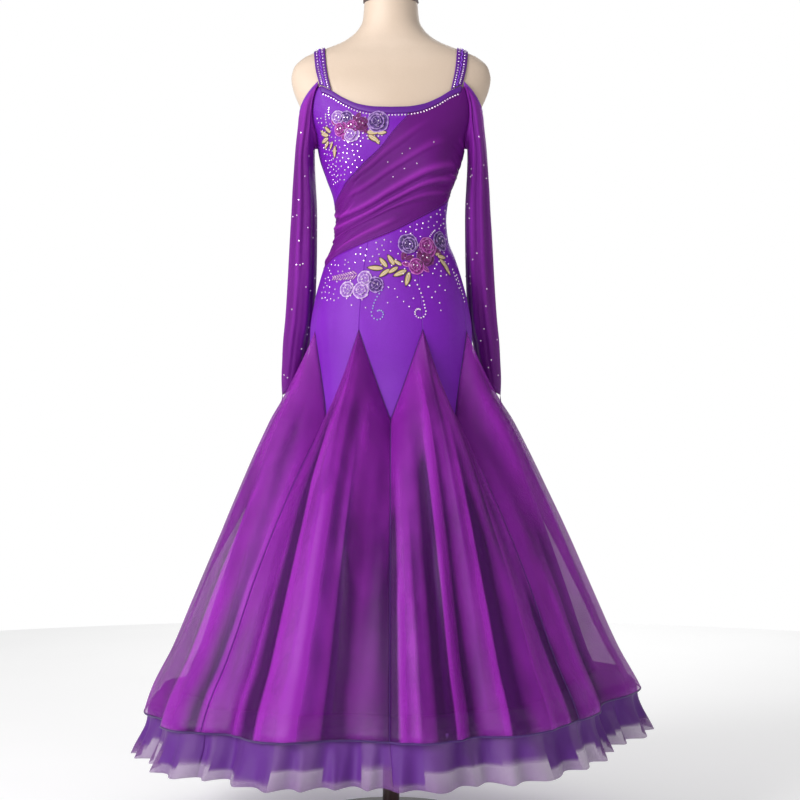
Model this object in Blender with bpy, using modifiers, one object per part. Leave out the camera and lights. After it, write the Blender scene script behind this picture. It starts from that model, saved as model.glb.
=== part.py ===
# Ballroom dance dress on a dress form with a pole stand. Metres, +Z up, the front faces -Y,
# +X is the wearer's left. The origin is on the floor under the middle of the stand.

import math
from collections import namedtuple

import bmesh
import bpy
from mathutils import Vector
from mathutils.bvhtree import BVHTree

# Driving dimensions
SEAM = 0.0003
BODY_RADIUS = 0.1
SKIRT_RADIUS = 0.2
FRILL_RADIUS = 0.45
LYCRA_WALL = 0.0015
ORGANZA_WALL = 0.0016
INNER_WALL = 0.0012
MESH_WALL = 0.0012
BAND_WALL = 0.0022
STRAP_WALL = 0.0020
STRAP_WIDTH = 0.021
BAND_HEIGHT = 0.013
FORM_INSET = 0.0038
SHOULDER_INSET = 0.0012
SHOULDER_START = 1.355
SHOULDER_FULL = 1.400
FORM_BOTTOM = 0.860
FORM_STEPS = 24
FORM_HIP_TOP = 0.980
HIP_INSET = 0.022
CAP_HEIGHT = 0.022
CAP_OVERHANG = 0.0015
POLE_RADIUS = 0.016
BASE_RADIUS = 0.155
BASE_HEIGHT = 0.014

GODETS = 8
PEAK_HEIGHT = 0.930
TIP_HEIGHT = 0.765
ORGANZA_LIFT = 0.0005
FLARE = 0.200
FLARE_LENGTH = 0.300
FOLD_RUN = 0.700
FOLD_GROWTH = 1.4
INNER_STEP = 0.010
INNER_STEP_DROP = 0.030
INNER_SLOPE = 0.042
INNER_SLOPE_GROWTH = 2.0
INNER_FOLD_SHARE = 0.6
PEAK_FOLD = 0.010
PEAK_FOLD_WIDTH = 4.0
PEAK_FOLD_DROP = 0.085
PANEL_TOP_GAP = 0.00096
SKIRT_ROW_SPREAD = 0.9

HEM_HEIGHT = 0.226
INNER_HEM_HEIGHT = 0.262
FRILL_TOP_ABOVE_HEM = 0.016
FRILL_BOTTOM_HEIGHT = 0.148
HEM_RISE = 0.046
HEM_RISE_ANGLE = 84.0
FRONT_DIP = 0.010
CORD_RADIUS = 0.0017

FRILL_WAVES = 48
FRILL_STEPS = 4
FRILL_WALL = 0.0012
BODY_STEP = 7.5
GODET_COLUMNS = 14
GODET_ROWS = 7
INNER_COLUMNS = 8
INNER_ROWS = 4

ARMHOLE_ANGLE = 45.0
CORNER_ANGLE = 11.0

# Level curves of the body and of the skirt's core, smallest to largest height
Section = namedtuple("Section", "height half_width front back")
SECTIONS = [
    Section(0.140, 0.308, 0.318, 0.318),
    Section(0.230, 0.292, 0.289, 0.288),
    Section(0.268, 0.282, 0.275, 0.275),
    Section(0.344, 0.251, 0.242, 0.242),
    Section(0.420, 0.229, 0.219, 0.219),
    Section(0.496, 0.210, 0.198, 0.199),
    Section(0.572, 0.194, 0.179, 0.181),
    Section(0.648, 0.180, 0.162, 0.165),
    Section(0.724, 0.170, 0.146, 0.150),
    Section(0.765, 0.1654, 0.137, 0.142),
    Section(0.800, 0.1587, 0.128, 0.134),
    Section(0.860, 0.1535, 0.118, 0.126),
    Section(0.930, 0.1520, 0.113, 0.120),
    Section(0.990, 0.1430, 0.107, 0.114),
    Section(1.028, 0.1330, 0.100, 0.105),
    Section(1.066, 0.1210, 0.092, 0.094),
    Section(1.104, 0.1070, 0.085, 0.083),
    Section(1.142, 0.1035, 0.083, 0.079),
    Section(1.180, 0.1080, 0.086, 0.081),
    Section(1.218, 0.1210, 0.091, 0.086),
    Section(1.256, 0.1340, 0.095, 0.091),
    Section(1.294, 0.1420, 0.096, 0.095),
    Section(1.330, 0.1630, 0.090, 0.096),
    Section(1.360, 0.1780, 0.081, 0.093),
    Section(1.390, 0.1880, 0.069, 0.087),
    Section(1.410, 0.1905, 0.060, 0.080),
    Section(1.430, 0.1860, 0.052, 0.072),
    Section(1.450, 0.1660, 0.047, 0.062),
    Section(1.465, 0.1300, 0.044, 0.054),
    Section(1.480, 0.0920, 0.045, 0.050),
    Section(1.500, 0.0660, 0.048, 0.049),
    Section(1.520, 0.0550, 0.050, 0.050),
    Section(1.556, 0.0515, 0.0515, 0.0515),
]
FORM_HEIGHTS = (0.885, 0.930, 0.980, 1.040, 1.090, 1.142, 1.195, 1.250, 1.294, 1.330, 1.365, 1.400,
                1.425, 1.447, 1.463, 1.480, 1.505, 1.553)

BUST_ANGLE = 36.0
BUST_SPREAD = 19.0
BUST_HEIGHT = 1.236
BUST_RISE = 0.046
BUST_FULLNESS = 0.017

# Top edge of the body: scoop neck up to the strap, then the armhole down to the underarm
Edge = namedtuple("Edge", "angle height")
FRONT_TOP = [Edge(0, 1.3435), Edge(10, 1.3445), Edge(20, 1.3500), Edge(30, 1.3640), Edge(38, 1.3800),
             Edge(45, 1.3880), Edge(52.5, 1.3650), Edge(60, 1.3400), Edge(67.5, 1.3170),
             Edge(75, 1.2970), Edge(82.5, 1.2820), Edge(90, 1.2750)]
BACK_TOP = [Edge(0, 1.3300), Edge(10, 1.3320), Edge(20, 1.3400), Edge(30, 1.3560), Edge(38, 1.3740),
            Edge(45, 1.3860), Edge(52.5, 1.3640), Edge(60, 1.3400), Edge(67.5, 1.3170),
            Edge(75, 1.2970), Edge(82.5, 1.2820), Edge(90, 1.2750)]
# Slanting edges of the drape, wearer's right (-90) to left (+90)
DRAPE_LOW = [Edge(-90, 1.043), Edge(-72, 1.056), Edge(-61, 1.067), Edge(-33, 1.087), Edge(0, 1.111),
             Edge(42, 1.148), Edge(68, 1.168), Edge(90, 1.181)]
DRAPE_HIGH = [Edge(-90, 1.163), Edge(-69, 1.178), Edge(-32, 1.216), Edge(-20, 1.241),
              Edge(-7.6, 1.268), Edge(0, 1.292), Edge(12, 1.3300)]

# Folds of the organza, positive outward; depth is the depth at the hem
Fold = namedtuple("Fold", "angle width depth")
FOLDS = [
    Fold(-84, 8, -0.006), Fold(-66, 7, -0.026), Fold(-52, 7, 0.022), Fold(-38, 5.5, -0.032),
    Fold(-25, 7, 0.014), Fold(-9, 6, -0.026), Fold(7, 7, 0.020), Fold(19, 5, -0.034),
    Fold(31, 6, 0.008), Fold(46, 7, 0.016), Fold(60, 6, -0.026), Fold(78, 8, 0.023),
    Fold(93, 5, -0.004), Fold(105, 7, 0.018), Fold(121, 6.5, -0.028), Fold(136, 7, 0.016),
    Fold(150, 6, -0.022), Fold(164, 7, 0.020), Fold(178, 6, -0.028), Fold(-168, 6, 0.016),
    Fold(-155, 6, -0.022), Fold(-141, 7, 0.018), Fold(-126, 6, -0.026), Fold(-112, 7, 0.016),
    Fold(-98, 5, -0.006),
]

# Hanging sleeve of the wearer's left, top to cuff
Sleeve = namedtuple("Sleeve", "height centre_x centre_y half_width half_depth")
SLEEVE = [
    Sleeve(0.800, 0.1995, 0.128, 0.0140, 0.022),
    Sleeve(0.838, 0.1955, 0.112, 0.0185, 0.026),
    Sleeve(0.876, 0.1890, 0.095, 0.0225, 0.028),
    Sleeve(0.914, 0.1835, 0.078, 0.0250, 0.030),
    Sleeve(0.952, 0.1768, 0.060, 0.0268, 0.031),
    Sleeve(1.028, 0.1708, 0.036, 0.0262, 0.034),
    Sleeve(1.104, 0.1673, 0.022, 0.0248, 0.037),
    Sleeve(1.180, 0.1650, 0.012, 0.0222, 0.040),
    Sleeve(1.256, 0.1656, 0.006, 0.0172, 0.046),
    Sleeve(1.294, 0.1625, 0.004, 0.0165, 0.050),
    Sleeve(1.400, 0.1600, 0.002, 0.0165, 0.058),
]
SLEEVE_ROWS = 9
SLEEVE_FREE_EDGE_HEIGHT = 1.338
SLEEVE_FREE_EDGE_GAP = 0.0045
SLEEVE_BAND_HEIGHT = 0.009
CUFF_HEIGHT = 0.820
CUFF_SLANT = 0.010
SLEEVE_FOLD = 0.0016
SLEEVE_FOLDS = 3
SLEEVE_FOLD_TURN = 1.1
SLEEVE_SETTLE = 0.22
SLEEVE_CLEAR_SHARE = 0.6
SLEEVE_ROW_SPREAD = 1.25
LOOP_WIDTH = 0.006
LOOP_LENGTH = 0.026
LOOP_NARROWING = 0.35
LOOP_LEAN = 0.002

# Ridges of the ruched drape, from its low edge (0) to its high edge (1)
DRAPE_ROWS = 14
RUCHE_DEPTH = 0.0030
RUCHE_FADE = 2.08
RUCHE_FADE_ALONG = 0.45
RUCHE_FADE_UP = 0.35
RUCHE_UNEVEN = 0.25
RUCHE_ROW_TURN = 2.3
RUCHE_COLUMN_TURN = 1.7

# Applique clusters on the front: spine stations with the reach above and below it
Station = namedtuple("Station", "angle height above below")
BUST_SPRAY = [
    Station(-60, 1.321, 0.009, 0.010), Station(-52.5, 1.323, 0.016, 0.026), Station(-45, 1.321, 0.025, 0.036),
    Station(-37.5, 1.318, 0.025, 0.022), Station(-30, 1.316, 0.016, 0.014), Station(-22.5, 1.314, 0.017, 0.022),
    Station(-15, 1.312, 0.015, 0.016), Station(-7.5, 1.307, 0.012, 0.007), Station(0, 1.3035, 0.003, 0.003),
]
HIP_SPRAY = [
    Station(-52.5, 1.030, 0.003, 0.003), Station(-45, 1.029, 0.006, 0.005), Station(-37.5, 1.027, 0.009, 0.007),
    Station(-30, 1.022, 0.011, 0.010), Station(-22.5, 1.017, 0.013, 0.014), Station(-15, 1.018, 0.016, 0.014),
    Station(-7.5, 1.026, 0.016, 0.011), Station(0, 1.038, 0.012, 0.011), Station(7.5, 1.048, 0.016, 0.015),
    Station(15, 1.056, 0.026, 0.018), Station(22.5, 1.059, 0.034, 0.014), Station(30, 1.060, 0.024, 0.012),
    Station(37.5, 1.065, 0.030, 0.012), Station(45, 1.060, 0.022, 0.014), Station(52.5, 1.050, 0.010, 0.014),
    Station(60, 1.036, 0.003, 0.003),
]
SPRAY_GAP = 0.0008
SPRAY_SIGHT = 0.05
SPRAY_WALL = 0.0012
PETAL_RISE = 0.0030
PETAL_UNEVEN = 0.45
PETAL_ROW_TURN = 2.6
PETAL_COLUMN_TURN = 3.1
SPRAY_ROWS = 6


def smooth_between(rows, column, at):
    """Value of a named column at a place between a table's rows, with no overshoot."""
    keys = [row[0] for row in rows]
    values = [getattr(row, column) for row in rows]
    if at <= keys[0]:
        return values[0]
    if at >= keys[-1]:
        return values[-1]
    slopes = [(values[i + 1] - values[i]) / (keys[i + 1] - keys[i]) for i in range(len(keys) - 1)]

    def tangent(index):
        if index in (0, len(keys) - 1):
            return slopes[0] if index == 0 else slopes[-1]
        before, after = slopes[index - 1], slopes[index]
        if before * after <= 0:
            return 0.0
        return 2 * before * after / (before + after)

    i = max(k for k in range(len(keys) - 1) if keys[k] <= at)
    span = keys[i + 1] - keys[i]
    t = (at - keys[i]) / span
    rise = values[i + 1] - values[i]
    low, high = tangent(i) * span, tangent(i + 1) * span
    return values[i] + t * (low + t * (3 * rise - 2 * low - high + t * (low + high - 2 * rise)))


def turned(angle):
    """The angle in degrees brought between -180 and 180; 0 is the front, 90 the wearer's left."""
    return (angle + 180.0) % 360.0 - 180.0


def bell(distance, width):
    return math.exp(-(distance / width) ** 2)


def level_point(angle, height, widened, out):
    """A point of the level curve at a height, widened for flare and moved out along its normal."""
    half_width = smooth_between(SECTIONS, "half_width", height) + widened
    side = "front" if abs(turned(angle)) <= 90.0 else "back"
    half_depth = smooth_between(SECTIONS, side, height) + widened
    sine, cosine = math.sin(math.radians(angle)), math.cos(math.radians(angle))
    normal = Vector((sine / half_width, -cosine / half_depth, 0.0)).normalized()
    return Vector((half_width * sine, -half_depth * cosine, height)) + normal * out


def bust(angle, height):
    spread = bell(abs(turned(angle)) - BUST_ANGLE, BUST_SPREAD)
    return BUST_FULLNESS * spread * bell(height - BUST_HEIGHT, BUST_RISE)


def body_point(angle, height, out):
    """A point of the worn body's surface, moved out from it."""
    return level_point(angle, height, 0.0, bust(angle, height) + out)


def zigzag(angle):
    """Height of the body's lower edge: peaks between the eight tips."""
    step = 360.0 / GODETS
    from_tip = abs((angle + step / 2) % step - step / 2)
    return TIP_HEIGHT + (PEAK_HEIGHT - TIP_HEIGHT) * from_tip / (step / 2)


def top_edge(angle):
    """Height of the body's upper edge."""
    turn = abs(turned(angle))
    if turn <= 90.0:
        return smooth_between(FRONT_TOP, "height", turn)
    return smooth_between(BACK_TOP, "height", 180.0 - turn)


def hem_rise(angle):
    """How far the hem is lifted on the wearer's left side and at the middle of the front."""
    lift = max(0.0, math.cos(math.radians(angle - HEM_RISE_ANGLE)))
    front = max(0.0, math.cos(math.radians(angle)))
    return HEM_RISE * lift ** 3 + FRONT_DIP * front ** 6


def folds(angle, drop):
    """Outward reach of the folds at a drop below the zigzag edge."""
    reach = sum(f.depth * bell(turned(angle - f.angle), f.width) for f in FOLDS)
    step = 360.0 / GODETS
    from_peak = abs(angle % step - step / 2)
    tuck = drop / PEAK_FOLD_DROP * math.exp(1.0 - drop / PEAK_FOLD_DROP)
    return reach * (drop / FOLD_RUN) ** FOLD_GROWTH - PEAK_FOLD * tuck * bell(from_peak, PEAK_FOLD_WIDTH)


def flare(drop):
    return FLARE * (1.0 - math.exp(-drop / FLARE_LENGTH))


def organza_point(angle, height, out):
    """A point of the organza skirt, from its lower side moved out."""
    drop = max(0.0, zigzag(angle) - height)
    widened = flare(drop) + folds(angle, drop)
    return level_point(angle, height, widened, ORGANZA_LIFT + out)


def inner_point(angle, height, out):
    """A point of the inner skirt, which falls steeper than the organza over it."""
    drop = max(0.0, zigzag(angle) - height)
    step = INNER_STEP * (1.0 - math.exp(-drop / INNER_STEP_DROP))
    inset = step + INNER_SLOPE * drop * (1.0 + INNER_SLOPE_GROWTH * drop)
    widened = flare(drop) + INNER_FOLD_SHARE * folds(angle, drop) - inset
    return level_point(angle, height, widened, ORGANZA_LIFT - SEAM - INNER_WALL + out)


def blended(low, high, share):
    return low + (high - low) * share


def new_object(name, mesh_builder, material):
    """Puts the built mesh in the dress collection under its own name."""
    mesh = bpy.data.meshes.new(name)
    bmesh.ops.recalc_face_normals(mesh_builder, faces=mesh_builder.faces)
    mesh_builder.to_mesh(mesh)
    mesh_builder.free()
    made = bpy.data.objects.new(name, mesh)
    made.data.materials.append(material)
    made.data.shade_smooth()
    made.data.set_sharp_from_angle(angle=math.radians(50))
    dress.objects.link(made)
    return made


def wall(name, columns, rows, inner, outer, material, ring=False):
    """A closed wall of cloth: a grid from bottom to top, and the same grid moved out.

    inner(column, row) and outer(column, row) give the two sides' points."""
    builder = bmesh.new()
    sides = []
    for place in (inner, outer):
        grid = [[builder.verts.new(place(c, r)) for r in range(rows + 1)]
                for c in range(columns if ring else columns + 1)]
        sides.append(grid)
    inside, outside = sides
    count = len(inside)
    spans = [(c, (c + 1) % count) for c in range(columns)]
    for c, d in spans:
        for r in range(rows):
            builder.faces.new((inside[c][r], inside[c][r + 1], inside[d][r + 1], inside[d][r]))
            builder.faces.new((outside[c][r], outside[d][r], outside[d][r + 1], outside[c][r + 1]))
        builder.faces.new((inside[c][0], inside[d][0], outside[d][0], outside[c][0]))
        builder.faces.new((inside[c][rows], outside[c][rows], outside[d][rows], inside[d][rows]))
    if not ring:
        for r in range(rows):
            builder.faces.new((inside[0][r], outside[0][r], outside[0][r + 1], inside[0][r + 1]))
            last = count - 1
            builder.faces.new((inside[last][r], inside[last][r + 1], outside[last][r + 1], outside[last][r]))
    return new_object(name, builder, material)


def seam_angle(angle, side, radius):
    """The angle drawn back from a seam by half the seam gap."""
    return angle + side * math.degrees(SEAM / 2 / radius)


def body_panel(name, first, last, low, high, rows, thickness, material, relief=None):
    """A panel of the body between two angles and two edge heights given as functions of the angle."""
    columns = round((last - first) / BODY_STEP)

    def angle_of(column):
        angle = first + (last - first) * column / columns
        if column == 0:
            return seam_angle(angle, 1, BODY_RADIUS)
        if column == columns:
            return seam_angle(angle, -1, BODY_RADIUS)
        return angle

    def place(column, row, out):
        angle = angle_of(column)
        return body_point(angle, blended(low(angle), high(angle), row / rows), out)

    def outer(column, row):
        raised = relief(column, row) if relief else 0.0
        return place(column, row, thickness + raised)

    return wall(name, columns, rows, lambda c, r: place(c, r, 0.0), outer, material)


def cloth(name, colour, roughness):
    """A plain Principled material in the part's own colour."""
    made = bpy.data.materials.new(name)
    made.use_nodes = True
    shader = made.node_tree.nodes["Principled BSDF"]
    shader.inputs["Base Color"].default_value = (*colour, 1.0)
    shader.inputs["Roughness"].default_value = roughness
    shader.inputs["Metallic"].default_value = 0.0
    return made


def fresh_scene():
    for left in list(bpy.data.objects):
        bpy.data.objects.remove(left, do_unlink=True)
    collection = bpy.data.collections.new("ballroom_dance_dress")
    bpy.context.scene.collection.children.link(collection)
    return collection


dress = fresh_scene()

LYCRA = cloth("violet_lycra", (0.20, 0.025, 0.55), 0.45)
BINDING = cloth("dark_violet_binding", (0.11, 0.018, 0.34), 0.45)
SLEEVE_MESH = cloth("plum_mesh", (0.17, 0.012, 0.24), 0.60)
ORGANZA = cloth("magenta_organza", (0.33, 0.035, 0.45), 0.35)
INNER_CLOTH = cloth("inner_violet", (0.26, 0.03, 0.48), 0.50)
CRINOLINE = cloth("violet_crinoline", (0.12, 0.04, 0.35), 0.50)
CORD = cloth("dark_cord", (0.05, 0.006, 0.13), 0.40)
EMBROIDERY = cloth("violet_and_gold_applique", (0.25, 0.10, 0.35), 0.55)
FORM_COVER = cloth("beige_cover", (0.80, 0.65, 0.53), 0.70)
DARK_WOOD = cloth("dark_brown_wood", (0.07, 0.025, 0.022), 0.40)


# Dress form: a limbless torso, narrowed under the hips where the skirt hangs clear of it
def form_point(angle, height):
    below = max(0.0, FORM_HIP_TOP - height) / (FORM_HIP_TOP - FORM_BOTTOM)
    up = min(1.0, max(0.0, (height - SHOULDER_START) / (SHOULDER_FULL - SHOULDER_START)))
    inset = blended(FORM_INSET, SHOULDER_INSET, up) + HIP_INSET * below ** 2
    return body_point(angle, height, -inset)


def dress_form():
    builder = bmesh.new()
    heights = (FORM_BOTTOM,) + FORM_HEIGHTS
    rings = [[builder.verts.new(form_point(360.0 * s / FORM_STEPS, z)) for s in range(FORM_STEPS)]
             for z in heights]
    for low, high in zip(rings, rings[1:]):
        for s in range(FORM_STEPS):
            t = (s + 1) % FORM_STEPS
            builder.faces.new((low[s], low[t], high[t], high[s]))
    builder.faces.new(rings[0])
    builder.faces.new(rings[-1])
    new_object("dress_form", builder, FORM_COVER)


def turned_piece(name, profile, steps, material):
    """A turned piece from a profile of (radius, height), top to bottom on its outer side."""
    mesh = bpy.data.meshes.new(name)
    mesh.from_pydata([(r, 0.0, z) for r, z in profile], [(i, i + 1) for i in range(len(profile) - 1)], [])
    made = bpy.data.objects.new(name, mesh)
    made.data.materials.append(material)
    dress.objects.link(made)
    spin = made.modifiers.new("turn", "SCREW")
    spin.axis = "Z"
    spin.steps = steps
    spin.render_steps = steps
    spin.use_merge_vertices = True
    spin.merge_threshold = 0.0001
    return made


# Profiles of the turned cap and base as shares of radius and height, top to bottom
Turn = namedtuple("Turn", "radius height")
CAP_PROFILE = [Turn(0.0, 1.0), Turn(0.6, 0.92), Turn(0.9, 0.7), Turn(1.0, 0.4), Turn(1.0, 0.0), Turn(0.0, 0.0)]
BASE_PROFILE = [Turn(0.0, 1.0), Turn(0.93, 1.0), Turn(0.99, 0.7), Turn(1.0, 0.4), Turn(1.0, 0.0),
                Turn(0.0, 0.0)]


def scaled(profile, radius, height, foot):
    return [(radius * turn.radius, foot + height * turn.height) for turn in profile]


def stand():
    cap_radius = SECTIONS[-1].half_width + CAP_OVERHANG
    pole_top = FORM_BOTTOM - SEAM
    pole_foot = BASE_HEIGHT + SEAM
    turned_piece("neck_cap", scaled(CAP_PROFILE, cap_radius, CAP_HEIGHT, FORM_HEIGHTS[-1] + SEAM), 24, DARK_WOOD)
    turned_piece("stand_pole", [(0.0, pole_top), (POLE_RADIUS, pole_top), (POLE_RADIUS, pole_foot),
                                (0.0, pole_foot)], 16, DARK_WOOD)
    turned_piece("stand_base", scaled(BASE_PROFILE, BASE_RADIUS, BASE_HEIGHT, 0.0), 32, DARK_WOOD)


# Bodice, drape, hip yoke and back
def drape_low(angle):
    return smooth_between(DRAPE_LOW, "height", turned(angle))


def drape_high(angle):
    turn = turned(angle)
    under_band = below_band(turn)
    return min(under_band, smooth_between(DRAPE_HIGH, "height", turn)) if turn < 12.0 else under_band


def below_band(angle):
    """Upper edge of the panels: under the neckline's band, then along the armhole."""
    turn = abs(turned(angle))
    covered = turn <= ARMHOLE_ANGLE or turn >= 180.0 - ARMHOLE_ANGLE
    return top_edge(angle) - (BAND_HEIGHT + SEAM if covered else 0.0)


def ruche(column, row):
    """Ridges that run along the drape; they fade over the wearer's left bust and at the edges."""
    if row in (0, DRAPE_ROWS) or row % 2 == 0:
        return 0.0
    along = column / round(180.0 / BODY_STEP)
    up = row / DRAPE_ROWS
    fade = RUCHE_FADE * max(0.0, along - RUCHE_FADE_ALONG) * max(0.0, up - RUCHE_FADE_UP)
    uneven = RUCHE_UNEVEN * (1.0 - math.sin(RUCHE_ROW_TURN * row + RUCHE_COLUMN_TURN * column))
    return RUCHE_DEPTH * (1.0 - fade) * (1.0 - uneven)


def bodice_corner(angle):
    return drape_high(angle) + SEAM


def front_bodice():
    """The wearer's right bust panel; it runs to a narrow corner at the neckline."""
    stops = [-90.0 + BODY_STEP * i for i in range(14)] + [CORNER_ANGLE]
    stops[0] = seam_angle(-90.0, 1, BODY_RADIUS)
    rows = 5

    def place(column, row, out):
        angle = stops[column]
        return body_point(angle, blended(bodice_corner(angle), below_band(angle), row / rows), out)

    return wall("front_bodice", len(stops) - 1, rows, lambda c, r: place(c, r, 0.0),
                lambda c, r: place(c, r, LYCRA_WALL), LYCRA)


def panels():
    bodice = front_bodice()
    body_panel("drape_sash", -90.0, 90.0, drape_low, drape_high, DRAPE_ROWS, MESH_WALL, SLEEVE_MESH, ruche)
    yoke = body_panel("hip_yoke", -90.0, 90.0, zigzag, lambda a: drape_low(a) - SEAM, 7, LYCRA_WALL, LYCRA)
    body_panel("back_body", 90.0, 270.0, zigzag, below_band, 12, LYCRA_WALL, LYCRA)
    return bodice, yoke


def neckline_bands():
    for name, middle in (("neckline_band_front", 0.0), ("neckline_band_back", 180.0)):
        body_panel(name, middle - ARMHOLE_ANGLE, middle + ARMHOLE_ANGLE,
                   lambda a: top_edge(a) - BAND_HEIGHT, top_edge, 1, BAND_WALL, BINDING)


# Straps over the shoulders, laid on the form
STRAP_STATIONS = 16
STRAP_BASE_X = 0.1225
STRAP_TOP_X = 0.1360
STRAP_CENTRE_HEIGHT = 1.360
STRAP_GAP = 0.0006
STRAP_FOOT = 0.0009
STRAP_REACH = 0.25
HALVINGS = 40


def form_reach(x, swing, gap):
    """The point over the form where a ray at a steady x, swung from front (0) to back (180), leaves it."""
    ray = Vector((0.0, -math.cos(math.radians(swing)), math.sin(math.radians(swing))))
    near, far = 0.0, STRAP_REACH

    def inside(distance):
        height = STRAP_CENTRE_HEIGHT + ray.z * distance
        depth = ray.y * distance
        half_width = smooth_between(SECTIONS, "half_width", height)
        half_depth = smooth_between(SECTIONS, "front" if depth < 0 else "back", height)
        return (x / half_width) ** 2 + (depth / half_depth) ** 2 < 1.0

    for _ in range(HALVINGS):
        middle = (near + far) / 2
        if inside(middle):
            near = middle
        else:
            far = middle
    return Vector((x, 0.0, STRAP_CENTRE_HEIGHT)) + ray * (near + gap)


def strap_end_swing(x, behind):
    """The swing at which the strap's edge at x meets the band's top edge, in front or behind."""
    foot = body_point(ARMHOLE_ANGLE, top_edge(ARMHOLE_ANGLE), 0.0)
    for _ in range(6):
        angle = math.degrees(math.asin(min(1.0, x / smooth_between(SECTIONS, "half_width", foot.z))))
        angle = min(angle, ARMHOLE_ANGLE)
        if behind:
            angle = 180.0 - angle
        foot = body_point(angle, top_edge(angle) + STRAP_FOOT, 0.0)
    return math.degrees(math.atan2(foot.z - STRAP_CENTRE_HEIGHT, -foot.y))


def strap(name, side):
    def place(column, row, gap):
        share = column / STRAP_STATIONS
        middle = blended(STRAP_BASE_X, STRAP_TOP_X, math.sin(math.pi * share))
        x = middle + STRAP_WIDTH * (row / 2 - 0.5)
        swing = blended(strap_end_swing(x, False), strap_end_swing(x, True), share)
        return mirrored(form_reach(x, swing, gap), side)

    wall(name, STRAP_STATIONS, 2, lambda c, r: place(c, r, STRAP_GAP),
         lambda c, r: place(c, r, STRAP_GAP + STRAP_WALL), BINDING)


# Sleeves: a hanging tube from the armhole and a free edge round the outside of the shoulder
ARMHOLE_POINTS = 12
FREE_POINTS = 6
SLEEVE_CLEAR = 0.0045
SLEEVE_SEAM = 0.0007
SLEEVE_PUFF = 0.0055
FREE_EDGE_PUFF = 0.0020
RING_START = ARMHOLE_ANGLE + 1.5
RING_FRONT = 100.0
RING_BACK = 260.0
UP = Vector((0.0, 0.0, 1.0))


def sleeve_ring(index):
    """Top line of the left sleeve: armhole from front to back, then the free edge back to the front.

    Gives the point, the outward direction and how far the cloth puffs out under the seam."""
    if index <= ARMHOLE_POINTS:
        step = (180.0 - 2 * ARMHOLE_ANGLE) / ARMHOLE_POINTS
        angle = ARMHOLE_ANGLE + step * index
        angle = min(max(angle, RING_START), 180.0 - RING_START)
        point = body_point(angle, top_edge(angle) + SLEEVE_SEAM, 0.0)
        puff = SLEEVE_PUFF
    else:
        share = (index - ARMHOLE_POINTS) / FREE_POINTS
        swing = math.sin(math.pi * share)
        angle = blended(180.0 - RING_START, RING_START, share)
        start = top_edge(RING_START) + SLEEVE_SEAM
        height = blended(start, SLEEVE_FREE_EDGE_HEIGHT, swing)
        point = body_point(angle, height, SLEEVE_FREE_EDGE_GAP * swing)
        puff = FREE_EDGE_PUFF
    outward = body_point(angle, point.z, 1.0) - body_point(angle, point.z, 0.0)
    return point, outward, puff


def ring_turn(index):
    """Place round the tube: 180 is the side next to the body, 0 the outside, 90 the front."""
    if index <= ARMHOLE_POINTS:
        return blended(RING_FRONT, RING_BACK, index / ARMHOLE_POINTS)
    return blended(RING_BACK, RING_FRONT + 360.0, (index - ARMHOLE_POINTS) / FREE_POINTS)


def clear_of_body(point, gap):
    """The point moved straight out until it is clear of the worn body."""
    angle = math.degrees(math.atan2(point.x, -point.y))
    side = "front" if point.y < 0 else "back"
    half_width = smooth_between(SECTIONS, "half_width", point.z)
    half_depth = smooth_between(SECTIONS, side, point.z)
    reach = math.hypot(point.x / half_width, point.y / half_depth)
    wanted = 1.0 + (gap + bust(angle, point.z)) * reach / math.hypot(point.x, point.y)
    scale = max(1.0, wanted / reach)
    return Vector((point.x * scale, point.y * scale, point.z))


def sleeve_point(index, share, out):
    """A point of the left sleeve at a share of the way from under its top seam (0) to the cuff (1)."""
    top, outward, puff = sleeve_ring(index)
    start = top + outward * puff
    turn = math.radians(ring_turn(index))
    cuff = CUFF_HEIGHT - CUFF_SLANT * math.cos(turn)
    height = blended(start.z, cuff, share)
    half_width = smooth_between(SLEEVE, "half_width", height)
    half_depth = smooth_between(SLEEVE, "half_depth", height)
    wave = SLEEVE_FOLD * math.cos(SLEEVE_FOLDS * turn + SLEEVE_FOLD_TURN) * math.sin(math.pi * share)
    tube = Vector((smooth_between(SLEEVE, "centre_x", height) + (half_width + wave + out) * math.cos(turn),
                   smooth_between(SLEEVE, "centre_y", height) - (half_depth + wave + out) * math.sin(turn),
                   height))
    settle = min(1.0, share / SLEEVE_SETTLE)
    settle = settle * settle * (3 - 2 * settle)
    slant = (outward + UP).normalized() if share == 0.0 else outward
    placed = blended(start + slant * out, tube, settle)
    return clear_of_body(placed, SLEEVE_CLEAR + out) if 0.0 < share < SLEEVE_CLEAR_SHARE else placed


def seam_point(index, out):
    """A point of the left sleeve's top seam line."""
    top, _, _ = sleeve_ring(index)
    return top + UP * out


def mirrored(point, side):
    return Vector((side * point.x, point.y, point.z))


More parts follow.
